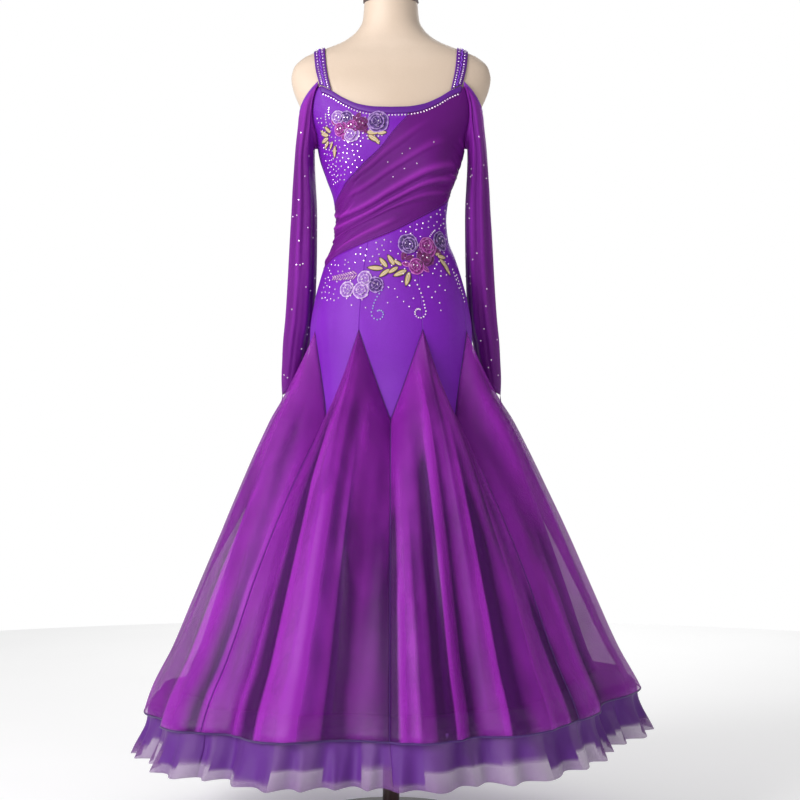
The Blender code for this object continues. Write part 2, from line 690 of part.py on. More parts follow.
def sleeve(side_name, side):
    ring = ARMHOLE_POINTS + FREE_POINTS

    def place(column, row, out):
        if row == SLEEVE_ROWS:
            return mirrored(seam_point(column, out), side)
        share = (1.0 - row / (SLEEVE_ROWS - 1)) ** SLEEVE_ROW_SPREAD
        return mirrored(sleeve_point(column, share, out), side)

    wall("sleeve_" + side_name, ring, SLEEVE_ROWS, lambda c, r: place(c, r, 0.0),
         lambda c, r: place(c, r, MESH_WALL), SLEEVE_MESH, ring=True)

    def band(column, row, out):
        index = ARMHOLE_POINTS + column
        top, outward, _ = sleeve_ring(index)
        lift = MESH_WALL + SEAM + SLEEVE_BAND_HEIGHT * row
        return mirrored(top + outward * out + UP * lift, side)

    wall("sleeve_band_" + side_name, FREE_POINTS, 1, lambda c, r: band(c, r, 0.0),
         lambda c, r: band(c, r, BAND_WALL), SLEEVE_MESH)

    outside = ARMHOLE_POINTS + FREE_POINTS / 2

    def loop_place(column, row, out):
        cuff = sleeve_point(int(outside), 1.0, out)
        narrowing = 1.0 - LOOP_NARROWING * row
        across = LOOP_WIDTH * (column - 0.5) * narrowing
        return mirrored(cuff + Vector((LOOP_LEAN * row, across, -SEAM - LOOP_LENGTH * row)), side)

    wall("finger_loop_" + side_name, 1, 1, lambda c, r: loop_place(c, r, 0.0),
         lambda c, r: loop_place(c, r, MESH_WALL), SLEEVE_MESH)


# Skirt: godets of organza, gores of the inner layer, cord at the hem and the frill under it
def godet_angle(number, share, radius):
    step = 360.0 / GODETS
    angle = step * (number + share)
    if share == 0.0:
        return seam_angle(angle, 1, radius)
    if share == 1.0:
        return seam_angle(angle, -1, radius)
    return angle


def skirt_panel(name, number, columns, rows, surface, hem_height, thickness, material):
    """A panel between two tips, from its hem up to the zigzag edge."""
    def place(column, row, out):
        angle = godet_angle(number, column / columns, SKIRT_RADIUS)
        low = hem_height + hem_rise(angle)
        high = zigzag(angle) - PANEL_TOP_GAP
        share = (row / rows) ** SKIRT_ROW_SPREAD
        return surface(angle, blended(low, high, share), out)

    wall(name, columns, rows, lambda c, r: place(c, r, 0.0), lambda c, r: place(c, r, thickness), material)


def hem_cord():
    """One cord round the whole organza hem, as a tube of four sides."""
    steps = GODETS * GODET_COLUMNS
    corners = [(0.0, 0.0), (CORD_RADIUS, -CORD_RADIUS), (0.0, -2 * CORD_RADIUS), (-CORD_RADIUS, -CORD_RADIUS)]
    builder = bmesh.new()
    rings = []
    for s in range(steps):
        angle = 360.0 * s / steps
        height = HEM_HEIGHT + hem_rise(angle)
        middle = organza_point(angle, height, ORGANZA_WALL / 2)
        outward = organza_point(angle, height, ORGANZA_WALL / 2 + 1.0) - middle
        rings.append([builder.verts.new(middle + outward * x + Vector((0.0, 0.0, z - SEAM)))
                      for x, z in corners])
    for s in range(steps):
        here, after = rings[s], rings[(s + 1) % steps]
        for k in range(4):
            builder.faces.new((here[k], after[k], after[(k + 1) % 4], here[(k + 1) % 4]))
    new_object("hem_cord", builder, CORD)


FrillRow = namedtuple("FrillRow", "share outset wave")
FRILL_ROWS = [FrillRow(0.0, 0.017, 0.0095), FrillRow(0.72, -0.0070, 0.0026), FrillRow(1.0, -0.0049, 0.0012)]


def frill(number):
    """A length of the frill: gathered waves that open from the organza's underside downward."""
    columns = FRILL_WAVES // GODETS * FRILL_STEPS

    def place(column, row, out):
        angle = godet_angle(number, column / columns, FRILL_RADIUS)
        spec = FRILL_ROWS[row]
        hem = HEM_HEIGHT + hem_rise(angle)
        low = FRILL_BOTTOM_HEIGHT + hem_rise(angle)
        height = blended(low, hem + FRILL_TOP_ABOVE_HEM, spec.share)
        wave = spec.wave * math.sin(2 * math.pi * FRILL_WAVES * angle / 360.0)
        carried = organza_point(angle, max(height, hem), 0.0)
        inside = level_outward(angle, carried, spec.outset + wave - FRILL_WALL + out)
        return Vector((inside.x, inside.y, height))

    wall("frill_%d" % (number + 1), columns, 2, lambda c, r: place(c, r, 0.0),
         lambda c, r: place(c, r, FRILL_WALL), CRINOLINE)


def level_outward(angle, point, distance):
    """The point moved straight out from the skirt's middle line."""
    return point + Vector((math.sin(math.radians(angle)), -math.cos(math.radians(angle)), 0.0)) * distance


def skirt():
    for number in range(GODETS):
        skirt_panel("godet_%d" % (number + 1), number, GODET_COLUMNS, GODET_ROWS, organza_point,
                    HEM_HEIGHT, ORGANZA_WALL, ORGANZA)
        skirt_panel("underskirt_%d" % (number + 1), number, INNER_COLUMNS, INNER_ROWS, inner_point,
                    INNER_HEM_HEIGHT, INNER_WALL, INNER_CLOTH)
        frill(number)
    hem_cord()


# Applique clusters: one raised patch each, laid over the panel's points
def spray(name, stations, panel):
    columns = len(stations) - 1
    mesh = panel.data
    surface = BVHTree.FromPolygons([v.co for v in mesh.vertices], [tuple(p.vertices) for p in mesh.polygons])

    def place(column, row, out):
        spot = stations[column]
        height = blended(spot.height - spot.below, spot.height + spot.above, row / SPRAY_ROWS)
        clear = body_point(spot.angle, height, SPRAY_SIGHT)
        outward = (clear - body_point(spot.angle, height, 0.0)).normalized()
        met, _, _, _ = surface.ray_cast(clear, -outward)
        return met + outward * (SPRAY_GAP + out)

    def raised(column, row):
        rim = row in (0, SPRAY_ROWS) or column in (0, columns)
        wavy = math.cos(PETAL_ROW_TURN * row) * math.cos(PETAL_COLUMN_TURN * column)
        petal = 0.0 if rim else PETAL_RISE * (1.0 - PETAL_UNEVEN * (1.0 - wavy))
        return place(column, row, SPRAY_WALL + petal)

    wall(name, columns, SPRAY_ROWS, lambda c, r: place(c, r, 0.0), raised, EMBROIDERY)


dress_form()
stand()
front, yoke_front = panels()
neckline_bands()
for side_label, side_sign in (("left", 1), ("right", -1)):
    strap("strap_" + side_label, side_sign)
    sleeve(side_label, side_sign)
skirt()
spray("applique_bust", BUST_SPRAY, front)
spray("applique_hip", HIP_SPRAY, yoke_front)
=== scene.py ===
import math
import random
from collections import namedtuple

import bmesh
import bpy
import numpy as np
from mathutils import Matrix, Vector
from mathutils.bvhtree import BVHTree


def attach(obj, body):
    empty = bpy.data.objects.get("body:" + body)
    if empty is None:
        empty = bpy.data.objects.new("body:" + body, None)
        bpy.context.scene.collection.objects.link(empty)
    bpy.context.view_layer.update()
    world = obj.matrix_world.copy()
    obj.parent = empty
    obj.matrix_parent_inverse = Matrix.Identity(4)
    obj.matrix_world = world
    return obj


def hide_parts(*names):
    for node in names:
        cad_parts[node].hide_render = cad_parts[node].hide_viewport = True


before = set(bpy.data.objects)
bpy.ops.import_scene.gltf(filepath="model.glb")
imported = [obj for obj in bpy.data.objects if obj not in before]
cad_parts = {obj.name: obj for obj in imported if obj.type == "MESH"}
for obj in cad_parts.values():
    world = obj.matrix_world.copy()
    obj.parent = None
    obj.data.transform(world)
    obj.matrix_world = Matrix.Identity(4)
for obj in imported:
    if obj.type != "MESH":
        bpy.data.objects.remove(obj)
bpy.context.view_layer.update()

# Camera. It stands level with the middle of the dress, 3.5 m in front of it, as the photograph does.
SHEET_SIZE = 800
FOCAL_PIXELS = 1842
SENSOR = 36.0
CAMERA_PLACE = (0.017, -3.5, 0.80)

eye = bpy.data.cameras.new("eye")
eye.sensor_width = SENSOR
eye.lens = SENSOR * FOCAL_PIXELS / SHEET_SIZE
camera = bpy.data.objects.new("camera", eye)
camera.location = CAMERA_PLACE
camera.rotation_euler = (math.radians(90.0), 0.0, 0.0)
bpy.context.scene.collection.objects.link(camera)
bpy.context.scene.camera = camera

# Torso. A limbless dress form of hard foam in a tight cover of beige jersey. The level curves that it
# follows are the dress's own, so they are set out here: 0 degrees is the front, 90 the wearer's left.
Section = namedtuple("Section", "height half_width front back")
SECTIONS = [Section(*row) for row in (
    (0.14, 0.308, 0.318, 0.318), (0.23, 0.292, 0.289, 0.288), (0.268, 0.282, 0.275, 0.275),
    (0.344, 0.251, 0.242, 0.242), (0.42, 0.229, 0.219, 0.219), (0.496, 0.21, 0.198, 0.199),
    (0.572, 0.194, 0.179, 0.181), (0.648, 0.18, 0.162, 0.165), (0.724, 0.17, 0.146, 0.15),
    (0.765, 0.1654, 0.137, 0.142), (0.8, 0.1587, 0.128, 0.134), (0.86, 0.1535, 0.118, 0.126),
    (0.93, 0.152, 0.113, 0.12), (0.99, 0.143, 0.107, 0.114), (1.028, 0.133, 0.1, 0.105),
    (1.066, 0.121, 0.092, 0.094), (1.104, 0.107, 0.085, 0.083), (1.142, 0.1035, 0.083, 0.079),
    (1.18, 0.108, 0.086, 0.081), (1.218, 0.121, 0.091, 0.086), (1.256, 0.134, 0.095, 0.091),
    (1.294, 0.142, 0.096, 0.095), (1.33, 0.163, 0.09, 0.096), (1.36, 0.178, 0.081, 0.093),
    (1.39, 0.188, 0.069, 0.087), (1.41, 0.1905, 0.06, 0.08), (1.43, 0.186, 0.052, 0.072),
    (1.45, 0.166, 0.047, 0.062), (1.465, 0.13, 0.044, 0.054), (1.48, 0.092, 0.045, 0.05),
    (1.5, 0.066, 0.048, 0.049), (1.52, 0.055, 0.05, 0.05), (1.556, 0.0515, 0.0515, 0.0515),
)]
BUST_ANGLE = 36.0
BUST_SPREAD = 19.0
BUST_HEIGHT = 1.236
BUST_RISE = 0.046
BUST_FULLNESS = 0.017
FORM_INSET = 0.0038
SHOULDER_INSET = 0.0012
SHOULDER_START = 1.355
SHOULDER_FULL = 1.400
FORM_BOTTOM = 0.860
FORM_HIP_TOP = 0.980
FORM_TOP = 1.553
HIP_INSET = 0.022
FORM_COLUMNS = 96
FORM_ROWS = 110
SHARP_EDGE = 50.0


def smooth_curve(rows, column):
    """A named column of a table as a smooth function of its first column, with no overshoot."""
    keys = np.array([row[0] for row in rows], float)
    values = np.array([getattr(row, column) for row in rows], float)
    slopes = np.diff(values) / np.diff(keys)
    tangents = np.zeros(len(keys))
    tangents[0], tangents[-1] = slopes[0], slopes[-1]
    before, after = slopes[:-1], slopes[1:]
    both = np.where(before + after == 0.0, 1.0, before + after)
    tangents[1:-1] = np.where(before * after > 0.0, 2.0 * before * after / both, 0.0)

    def value(at):
        at = np.clip(at, keys[0], keys[-1])
        i = np.clip(np.searchsorted(keys, at, side="right") - 1, 0, len(keys) - 2)
        span = keys[i + 1] - keys[i]
        t = (at - keys[i]) / span
        rise = values[i + 1] - values[i]
        low, high = tangents[i] * span, tangents[i + 1] * span
        return values[i] + t * (low + t * (3 * rise - 2 * low - high + t * (low + high - 2 * rise)))

    return value


half_width_at = smooth_curve(SECTIONS, "half_width")
front_depth_at = smooth_curve(SECTIONS, "front")
back_depth_at = smooth_curve(SECTIONS, "back")


def turned(angle):
    return (np.asarray(angle, float) + 180.0) % 360.0 - 180.0


def bell(distance, width):
    return np.exp(-(distance / width) ** 2)


def half_depth_at(angle, height):
    return np.where(np.abs(turned(angle)) <= 90.0, front_depth_at(height), back_depth_at(height))


def level_points(angle, height, widened, out):
    """Points of the level curves at given heights, widened, and moved out along their normals."""
    wide = half_width_at(height) + widened
    deep = half_depth_at(angle, height) + widened
    sine, cosine = np.sin(np.radians(angle)), np.cos(np.radians(angle))
    across, ahead = sine / wide, -cosine / deep
    size = np.hypot(across, ahead)
    return np.stack([wide * sine + out * across / size, -deep * cosine + out * ahead / size,
                     height + 0.0 * sine], -1)


def bust(angle, height):
    from_middle = np.abs(turned(angle)) - BUST_ANGLE
    return BUST_FULLNESS * bell(from_middle, BUST_SPREAD) * bell(height - BUST_HEIGHT, BUST_RISE)


def body_points(angle, height, out):
    return level_points(angle, height, 0.0, bust(angle, height) + out)


def crossed(columns, rows):
    """Two grids (column, row) from a line of values for each."""
    return np.meshgrid(columns, rows, indexing="ij")


def grid_mesh(name, points, ring=False, **marks):
    """A mesh on a grid of points (column, row), facing out where columns run to the left of the wearer.

    The map "cut" holds each point's place in the flat cloth in metres, and marks are values per point."""
    columns, rows = points.shape[:2]
    mesh = bpy.data.meshes.new(name)
    c, r = crossed(np.arange(columns if ring else columns - 1), np.arange(rows - 1))
    corners = [(c, r), (c + 1, r), (c + 1, r + 1), (c, r + 1)]
    faces = np.stack([(cc % columns) * rows + rr for cc, rr in corners], -1).reshape(-1, 4)
    mesh.from_pydata(points.reshape(-1, 3).tolist(), [], faces.tolist())
    wrapped = np.concatenate([points, points[:1]]) if ring else points
    across = np.cumsum(np.linalg.norm(np.diff(wrapped, axis=0, prepend=wrapped[:1]), axis=2), axis=0)
    across = across - across[len(across) // 2]
    along = np.cumsum(np.linalg.norm(np.diff(wrapped, axis=1, prepend=wrapped[:, :1]), axis=2), axis=1)
    flat = np.stack([np.stack([across[cc, rr], along[cc, rr]], -1) for cc, rr in corners], 2)
    mesh.uv_layers.new(name="cut").data.foreach_set("uv", flat.astype(np.float32).ravel())
    for mark, values in marks.items():
        filled = np.broadcast_to(values, (columns, rows)).astype(np.float32)
        mesh.attributes.new(mark, "FLOAT", "POINT").data.foreach_set("value", filled.ravel())
    mesh.shade_smooth()
    return mesh


def show(name, mesh, stands_for=(), materials=()):
    """Puts a mesh in the scene as a piece of the part."""
    piece = bpy.data.objects.new(name, mesh)
    for each in materials:
        mesh.materials.append(each)
    bpy.context.scene.collection.objects.link(piece)
    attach(piece, "root")
    if stands_for:
        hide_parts(*stands_for)
    return piece


def close_ends(mesh):
    """Fills the open ends of a tube."""
    builder = bmesh.new()
    builder.from_mesh(mesh)
    bmesh.ops.holes_fill(builder, edges=[e for e in builder.edges if e.is_boundary], sides=0)
    builder.to_mesh(mesh)
    builder.free()
    mesh.set_sharp_from_angle(angle=math.radians(SHARP_EDGE))


def marked(tree, label):
    """The value that the mesh carries under a name."""
    made = tree.nodes.new("ShaderNodeAttribute")
    made.attribute_name = label
    return Reading(made.outputs["Fac"])


def feed(tree, sockets, **values):
    """Sets sockets by name to plain values, or links them to other sockets, readings or marks of the mesh.

    A mark is given by its name. An underscore in a socket's name stands for a space."""
    for label, value in values.items():
        socket = sockets[label.replace("_", " ")]
        value = marked(tree, value) if isinstance(value, str) else value
        value = value.socket if isinstance(value, Reading) else value
        if isinstance(value, bpy.types.NodeSocket):
            tree.links.new(value, socket)
        else:
            socket.default_value = (*value, 1.0) if socket.type == "RGBA" else value


class Reading:
    """A value that changes over a surface. Arithmetic on it adds Math nodes to its shader tree."""

    def __init__(self, socket):
        self.socket, self.tree = socket, socket.id_data

    def calc(self, operation, second=0.0, first=None):
        made = self.tree.nodes.new("ShaderNodeMath")
        made.operation = operation
        for socket, value in zip(made.inputs, (self if first is None else first, second)):
            if isinstance(value, Reading):
                self.tree.links.new(value.socket, socket)
            else:
                socket.default_value = value
        return Reading(made.outputs[0])

    def __add__(self, other):
        return self.calc("ADD", other)

    def __sub__(self, other):
        return self.calc("SUBTRACT", other)

    def __rsub__(self, other):
        return self.calc("SUBTRACT", self, first=other)

    def __mul__(self, other):
        return self.calc("MULTIPLY", other)

    def __truediv__(self, other):
        return self.calc("DIVIDE", other)

    def at_least(self, low):
        return self.calc("MAXIMUM", low)

    def at_most(self, high):
        return self.calc("MINIMUM", high)

    def waves(self, pitch):
        """A sine wave along this measure, from -1 to 1."""
        return (self / pitch * math.tau).calc("SINE")


def blend_colour(tree, share, first, second):
    made = tree.nodes.new("ShaderNodeMix")
    made.data_type = "RGBA"
    by_place = {"share": made.inputs[0], "first": made.inputs[6], "second": made.inputs[7]}
    feed(tree, by_place, share=share, first=first, second=second)
    return made.outputs[2]


def cloudy(tree, scale, detail=2.0, stretch=(1.0, 1.0, 1.0)):
    """Soft uneven noise from 0 to 1 in the part's own space."""
    scaled = tree.nodes.new("ShaderNodeMapping")
    feed(tree, scaled.inputs, Vector=tree.nodes.new("ShaderNodeTexCoord").outputs["Object"], Scale=stretch)
    made = tree.nodes.new("ShaderNodeTexNoise")
    feed(tree, made.inputs, Vector=scaled.outputs[0], Scale=scale, Detail=detail)
    return Reading(made.outputs["Fac"])


def cut_place(tree):
    """The two flat measures of the cloth, across and along, in metres."""
    place = tree.nodes.new("ShaderNodeUVMap")
    place.uv_map = "cut"
    parts = tree.nodes.new("ShaderNodeSeparateXYZ")
    feed(tree, parts.inputs, Vector=place.outputs[0])
    return Reading(parts.outputs[0]), Reading(parts.outputs[1])


def raise_surface(tree, height, distance, **under):
    made = tree.nodes.new("ShaderNodeBump")
    feed(tree, made.inputs, Height=height, Distance=distance, **under)
    return made.outputs[0]


def new_group(name, colours, values, gives="Colour Normal Roughness"):
    """An empty shader group that takes colours and plain values; also its inputs and its outputs by name."""
    group = bpy.data.node_groups.new(name, "ShaderNodeTree")
    kinds = {"Colour": "Color", "Normal": "Vector"}
    wanted = [("INPUT", label, "Color") for label in colours.split()]
    wanted += [("INPUT", label, "Float") for label in values.split()]
    wanted += [("OUTPUT", label, kinds.get(label, "Float")) for label in gives.split()]
    for way, label, kind in wanted:
        group.interface.new_socket(label, in_out=way, socket_type="NodeSocket" + kind)
    entry, result = group.nodes.new("NodeGroupInput"), group.nodes.new("NodeGroupOutput")
    return group, {socket.name: Reading(socket) for socket in entry.outputs if socket.name}, result.inputs


def placed(tree, group, **values):
    """A group placed in a material with its own values."""
    made = tree.nodes.new("ShaderNodeGroup")
    made.node_tree = group
    feed(tree, made.inputs, **values)
    return made.outputs


def finish(name, **plain):
    """A new material with a Principled shader; gives the material, its tree and the shader's sockets."""
    made = bpy.data.materials.new(name)
    made.use_nodes = True
    sockets = made.node_tree.nodes["Principled BSDF"].inputs
    feed(made.node_tree, sockets, **plain)
    return made, made.node_tree, sockets


def group_finish(name, group, values, **plain):
    """A material that takes its colour, roughness and relief from one group with its own values."""
    made, tree, sockets = finish(name, **plain)
    for result in placed(tree, group, **values):
        tree.links.new(result, sockets["Base Color" if result.name == "Colour" else result.name])
    return made


# The knit group is the fine ribbed face of stretch jersey and lycra, with an uneven dye.
knit, taken, given = new_group("knit", "Colour Shade", "Wale Relief")
across, along = cut_place(knit)
loops = across.waves(taken["Wale"]) * ((along * 0.8).waves(taken["Wale"]) * 0.4 + 0.6)
dye = cloudy(knit, 9.0, 3.0) * 0.7 + cloudy(knit, 420.0, 1.0) * 0.3
# Besides the uneven dye, the colour is painted lighter on the loops' tops and darker in the grooves between them:
# painted shade.
feed(knit, given, Colour=blend_colour(knit, dye * 1.5 - loops * 0.12, taken["Colour"], taken["Shade"]),
     Normal=raise_surface(knit, loops, taken["Relief"]), Roughness=dye * 0.12 + 0.36)


def knit_finish(name, colour, shade, wale, relief, **plain):
    return group_finish(name, knit, dict(Colour=colour, Shade=shade, Wale=wale, Relief=relief), **plain)


cover = knit_finish("beige_jersey", (0.82, 0.66, 0.53), (0.74, 0.58, 0.45), 0.0012, 0.00006,
                    Sheen_Weight=0.25, Sheen_Roughness=0.5)
angle, height = crossed(np.linspace(0.0, 360.0, FORM_COLUMNS, endpoint=False),
                        np.linspace(FORM_BOTTOM, FORM_TOP, FORM_ROWS))
up = np.clip((height - SHOULDER_START) / (SHOULDER_FULL - SHOULDER_START), 0.0, 1.0)
below = np.clip((FORM_HIP_TOP - height) / (FORM_HIP_TOP - FORM_BOTTOM), 0.0, None)
inset = FORM_INSET + (SHOULDER_INSET - FORM_INSET) * up + HIP_INSET * below ** 2
torso_mesh = grid_mesh("torso", body_points(angle, height, -inset), ring=True)
close_ends(torso_mesh)
show("torso", torso_mesh, ["dress_form"], [cover])

# Stand. A turned neck cap, a pole and a round base of dark brown lacquered wood. The pole runs up into the
# torso and the cap closes the neck.
CAP_HEIGHT = 0.022
CAP_RADIUS = 0.053
SEAM = 0.0003
POLE_RADIUS = 0.016
BASE_RADIUS = 0.155
BASE_HEIGHT = 0.014
LATHE_STEPS = 72
CAP_RIM = 0.007
CAP_EDGE = 0.0015
POLE_EDGE = 0.0012
BASE_EDGE = 0.0045

grain, taken, given = new_group("wood_grain", "Colour Dark", "Scale")
streaks = cloudy(grain, taken["Scale"], 5.0, (6.0, 6.0, 0.35))
feed(grain, given, Colour=blend_colour(grain, streaks, taken["Dark"], taken["Colour"]),
     Roughness=streaks * 0.25 + 0.22, Normal=raise_surface(grain, streaks, 0.0002))
wood = group_finish("dark_brown_lacquer", grain, dict(Colour=(0.105, 0.036, 0.030), Dark=(0.040, 0.014, 0.012),
                                                      Scale=14.0), Coat_Weight=0.5, Coat_Roughness=0.12)


def rounded(radius, height, edge, steps=6):
    """The outer side of a disc's profile from bottom to top, with rounded edges."""
    turns = np.linspace(0.0, math.pi / 2, steps)
    low = [(radius - edge + edge * math.sin(t), edge - edge * math.cos(t)) for t in turns]
    high = [(radius - edge + edge * math.cos(t), height - edge + edge * math.sin(t)) for t in turns]
    return low + high


def lathe(name, profile, foot, stands_for):
    """A turned piece: the profile is (radius, height above the foot), bottom to top."""
    around = np.linspace(0.0, math.tau, LATHE_STEPS, endpoint=False)[:, None]
    radius, rise = np.array(profile).T[:, None]
    points = np.stack([radius * np.sin(around), -radius * np.cos(around), foot + rise + 0.0 * around], -1)
    mesh = grid_mesh(name, points, ring=True)
    close_ends(mesh)
    return show(name, mesh, [stands_for], [wood])


cap_profile = [(CAP_RADIUS - 0.002, 0.0), (CAP_RADIUS, CAP_EDGE), (CAP_RADIUS, CAP_RIM)]
cap_profile += [(CAP_RADIUS * math.cos(t) ** 0.55, CAP_RIM + (CAP_HEIGHT - CAP_RIM) * math.sin(t))
                for t in np.linspace(0.0, 0.96 * math.pi / 2, 10)[1:]]
pole_height = FORM_BOTTOM - BASE_HEIGHT - 2 * SEAM
lathe("neck_knob", cap_profile, FORM_TOP + SEAM, "neck_cap")
lathe("pole", rounded(POLE_RADIUS, pole_height, POLE_EDGE), BASE_HEIGHT + SEAM, "stand_pole")
lathe("base_disc", rounded(BASE_RADIUS, BASE_HEIGHT, BASE_EDGE), 0.0, "stand_base")

# Body panels. Violet stretch lycra, cut as an upper right bust panel, a front hip panel and a back, all worn
# tight. The hip and back panels end in a zigzag of eight tips, and fine seams run up from its peaks.
LYCRA_WALL = 0.0015
LYCRA_SHELL = 0.0009
MESH_WALL = 0.0012
LYCRA_STRETCH = 1.06
BAND_HEIGHT = 0.013
ARMHOLE_ANGLE = 45.0
CORNER_ANGLE = 11.0
GODETS = 8
GODET_TURN = 360.0 / GODETS
PEAK_HEIGHT = 0.930
TIP_HEIGHT = 0.765
Edge = namedtuple("Edge", "angle height")
FRONT_TOP = [Edge(*row) for row in (
    (0, 1.3435), (10, 1.3445), (20, 1.35), (30, 1.364), (38, 1.38), (45, 1.388), (52.5, 1.365), (60, 1.34),
    (67.5, 1.317), (75, 1.297), (82.5, 1.282), (90, 1.275),
)]
BACK_TOP = [Edge(*row) for row in (
    (0, 1.33), (10, 1.332), (20, 1.34), (30, 1.356), (38, 1.374), (45, 1.386), (52.5, 1.364), (60, 1.34),
    (67.5, 1.317), (75, 1.297), (82.5, 1.282), (90, 1.275),
)]
DRAPE_LOW = [Edge(*row) for row in (
    (-90, 1.043), (-72, 1.056), (-61, 1.067), (-33, 1.087), (0, 1.111), (42, 1.148), (68, 1.168), (90, 1.181),
)]
DRAPE_HIGH = [Edge(*row) for row in (
    (-90, 1.163), (-69, 1.178), (-32, 1.216), (-20, 1.241), (-7.6, 1.268), (0, 1.292), (12, 1.33),
)]
front_top_at = smooth_curve(FRONT_TOP, "height")
back_top_at = smooth_curve(BACK_TOP, "height")
drape_low_at = smooth_curve(DRAPE_LOW, "height")
drape_high_at = smooth_curve(DRAPE_HIGH, "height")


def zigzag(angle):
    from_tip = np.abs((angle + GODET_TURN / 2) % GODET_TURN - GODET_TURN / 2)
    return TIP_HEIGHT + (PEAK_HEIGHT - TIP_HEIGHT) * from_tip / (GODET_TURN / 2)


def top_edge(angle):
    turn = np.abs(turned(angle))
    return np.where(turn <= 90.0, front_top_at(turn), back_top_at(180.0 - turn))


def below_band(angle):
    """Upper edge of the panels: under the neckline's band, then along the armhole."""
    turn = np.abs(turned(angle))
    covered = (turn <= ARMHOLE_ANGLE) | (turn >= 180.0 - ARMHOLE_ANGLE)
    return top_edge(angle) - np.where(covered, BAND_HEIGHT + SEAM, 0.0)


def drape_high(angle):
    turn = turned(angle)
    return np.where(turn < 12.0, np.minimum(below_band(turn), drape_high_at(turn)), below_band(turn))


# The seam group draws a sewn seam: a thin dark groove at a steady spacing round the body.
seams, taken, given = new_group("sewn_seams", "", "Turn Spacing Width", "Line")
from_middle = taken["Turn"].calc("FLOORED_MODULO", taken["Spacing"]) - taken["Spacing"] / 2.0
feed(seams, given, Line=1.0 - (from_middle.calc("ABSOLUTE") / taken["Width"]).at_most(1.0))

# Violet lycra: bright and smooth, with a soft sheen and darker seams.
lycra, tree, sockets = finish("violet_lycra", Sheen_Weight=0.10, Sheen_Roughness=0.35,
                              Sheen_Tint=(0.70, 0.20, 1.0), Specular_IOR_Level=0.28)
face = placed(tree, knit, Colour=(0.265, 0.016, 0.600), Shade=(0.180, 0.009, 0.420), Wale=0.0009,
              Relief=0.00005)
seam = placed(tree, seams, Turn="turn", Spacing=GODET_TURN, Width=0.45)["Line"]
sewn = marked(tree, "seamed") * Reading(seam)
feed(tree, sockets, Base_Color=blend_colour(tree, sewn * 0.55, face["Colour"], (0.07, 0.006, 0.26)),
     Roughness=face["Roughness"], Normal=raise_surface(tree, 1.0 - sewn, 0.0006, Normal=face["Normal"]))


def give_wall(piece, thickness):
    """Gives a sheet its thickness, inward from its outer face."""
    wall = piece.modifiers.new("wall", "SOLIDIFY")
    wall.thickness = thickness
    wall.offset = -1.0


def cloth(name, points, shell, slot, stands_for, finish_used, held, rests_on, ring=False, stretch=1.0,
          level=False, with_pieces=(), **marks):
    """A thin shell of cloth under a grid of its outer points; the size that it was cut to (stretch) is not used.
    """
    piece = show(name, grid_mesh(name, points, ring, **marks), stands_for, [finish_used])
    give_wall(piece, shell)
    return piece


def panel_grid(first, last, columns, rows):
    """Angles and shares up a panel, as two grids."""
    return crossed(np.linspace(first, last, columns + 1), np.linspace(0.0, 1.0, rows + 1))


def between(low, high, share):
    return low + (high - low) * share


# Soft creases of the lycra: from the underarm over the right bust, and at the sides of the hips
Crease = namedtuple("Crease", "angle lean width low high depth")
LYCRA_CREASES = [Crease(*row) for row in (
    (-62, 60, 3.4, 1.17, 1.31, 0.001), (-54, 40, 2.6, 1.16, 1.27, -0.0008), (-72, 30, 3.0, 1.18, 1.29, -0.0009),
    (-47, 90, 3.0, 1.19, 1.28, 0.0006), (-70, -40, 5.0, 0.86, 1.02, 0.0008), (62, 50, 5.0, 0.88, 1.06, -0.0007),
    (112, 30, 5.0, 1.08, 1.24, 0.001), (131, -20, 4.0, 1.1, 1.22, -0.001), (158, 10, 5.0, 1.06, 1.19, 0.0009),
    (-119, -20, 4.5, 1.09, 1.25, -0.001), (-146, 20, 5.0, 1.07, 1.2, 0.0009),
    (-170, 0, 4.0, 1.1, 1.22, -0.0008),
)]


def lycra_creases(angle, height):
    reach = 0.0
    for fold in LYCRA_CREASES:
        middle, half = (fold.low + fold.high) / 2, (fold.high - fold.low) / 2
        beside = turned(angle - fold.angle - fold.lean * (height - middle))
        reach = reach + fold.depth * bell(beside, fold.width) * bell(height - middle, 0.6 * half)
    return reach


def lycra_panel(name, stands_for, first, last, columns, rows, low, high, seamed_below):
    angle, share = panel_grid(first, last, columns, rows)
    height = between(low(angle), high(angle), share)
    points = body_points(angle, height, LYCRA_WALL + lycra_creases(angle, height))
    return cloth(name, points, LYCRA_SHELL, "violet_lycra", [stands_for], lycra, "stretched", ["torso"],
                 stretch=LYCRA_STRETCH, level=True, turn=angle,
                 seamed=np.clip((seamed_below - height) / 0.02, 0.0, 1.0))


bodice = lycra_panel("bust_panel", "front_bodice", -90.0 + 0.1, CORNER_ANGLE, 130, 44,
                     lambda a: drape_high(a) + SEAM, below_band, 0.5)
yoke = lycra_panel("hip_panel", "hip_yoke", -90.0 + 0.05, 90.0 - 0.05, 192, 70, zigzag,
                   lambda a: drape_low_at(turned(a)) - SEAM, 1.19)
lycra_panel("back_panel", "back_body", 90.0 + 0.05, 270.0 - 0.05, 192, 120, zigzag, below_band, 1.36)

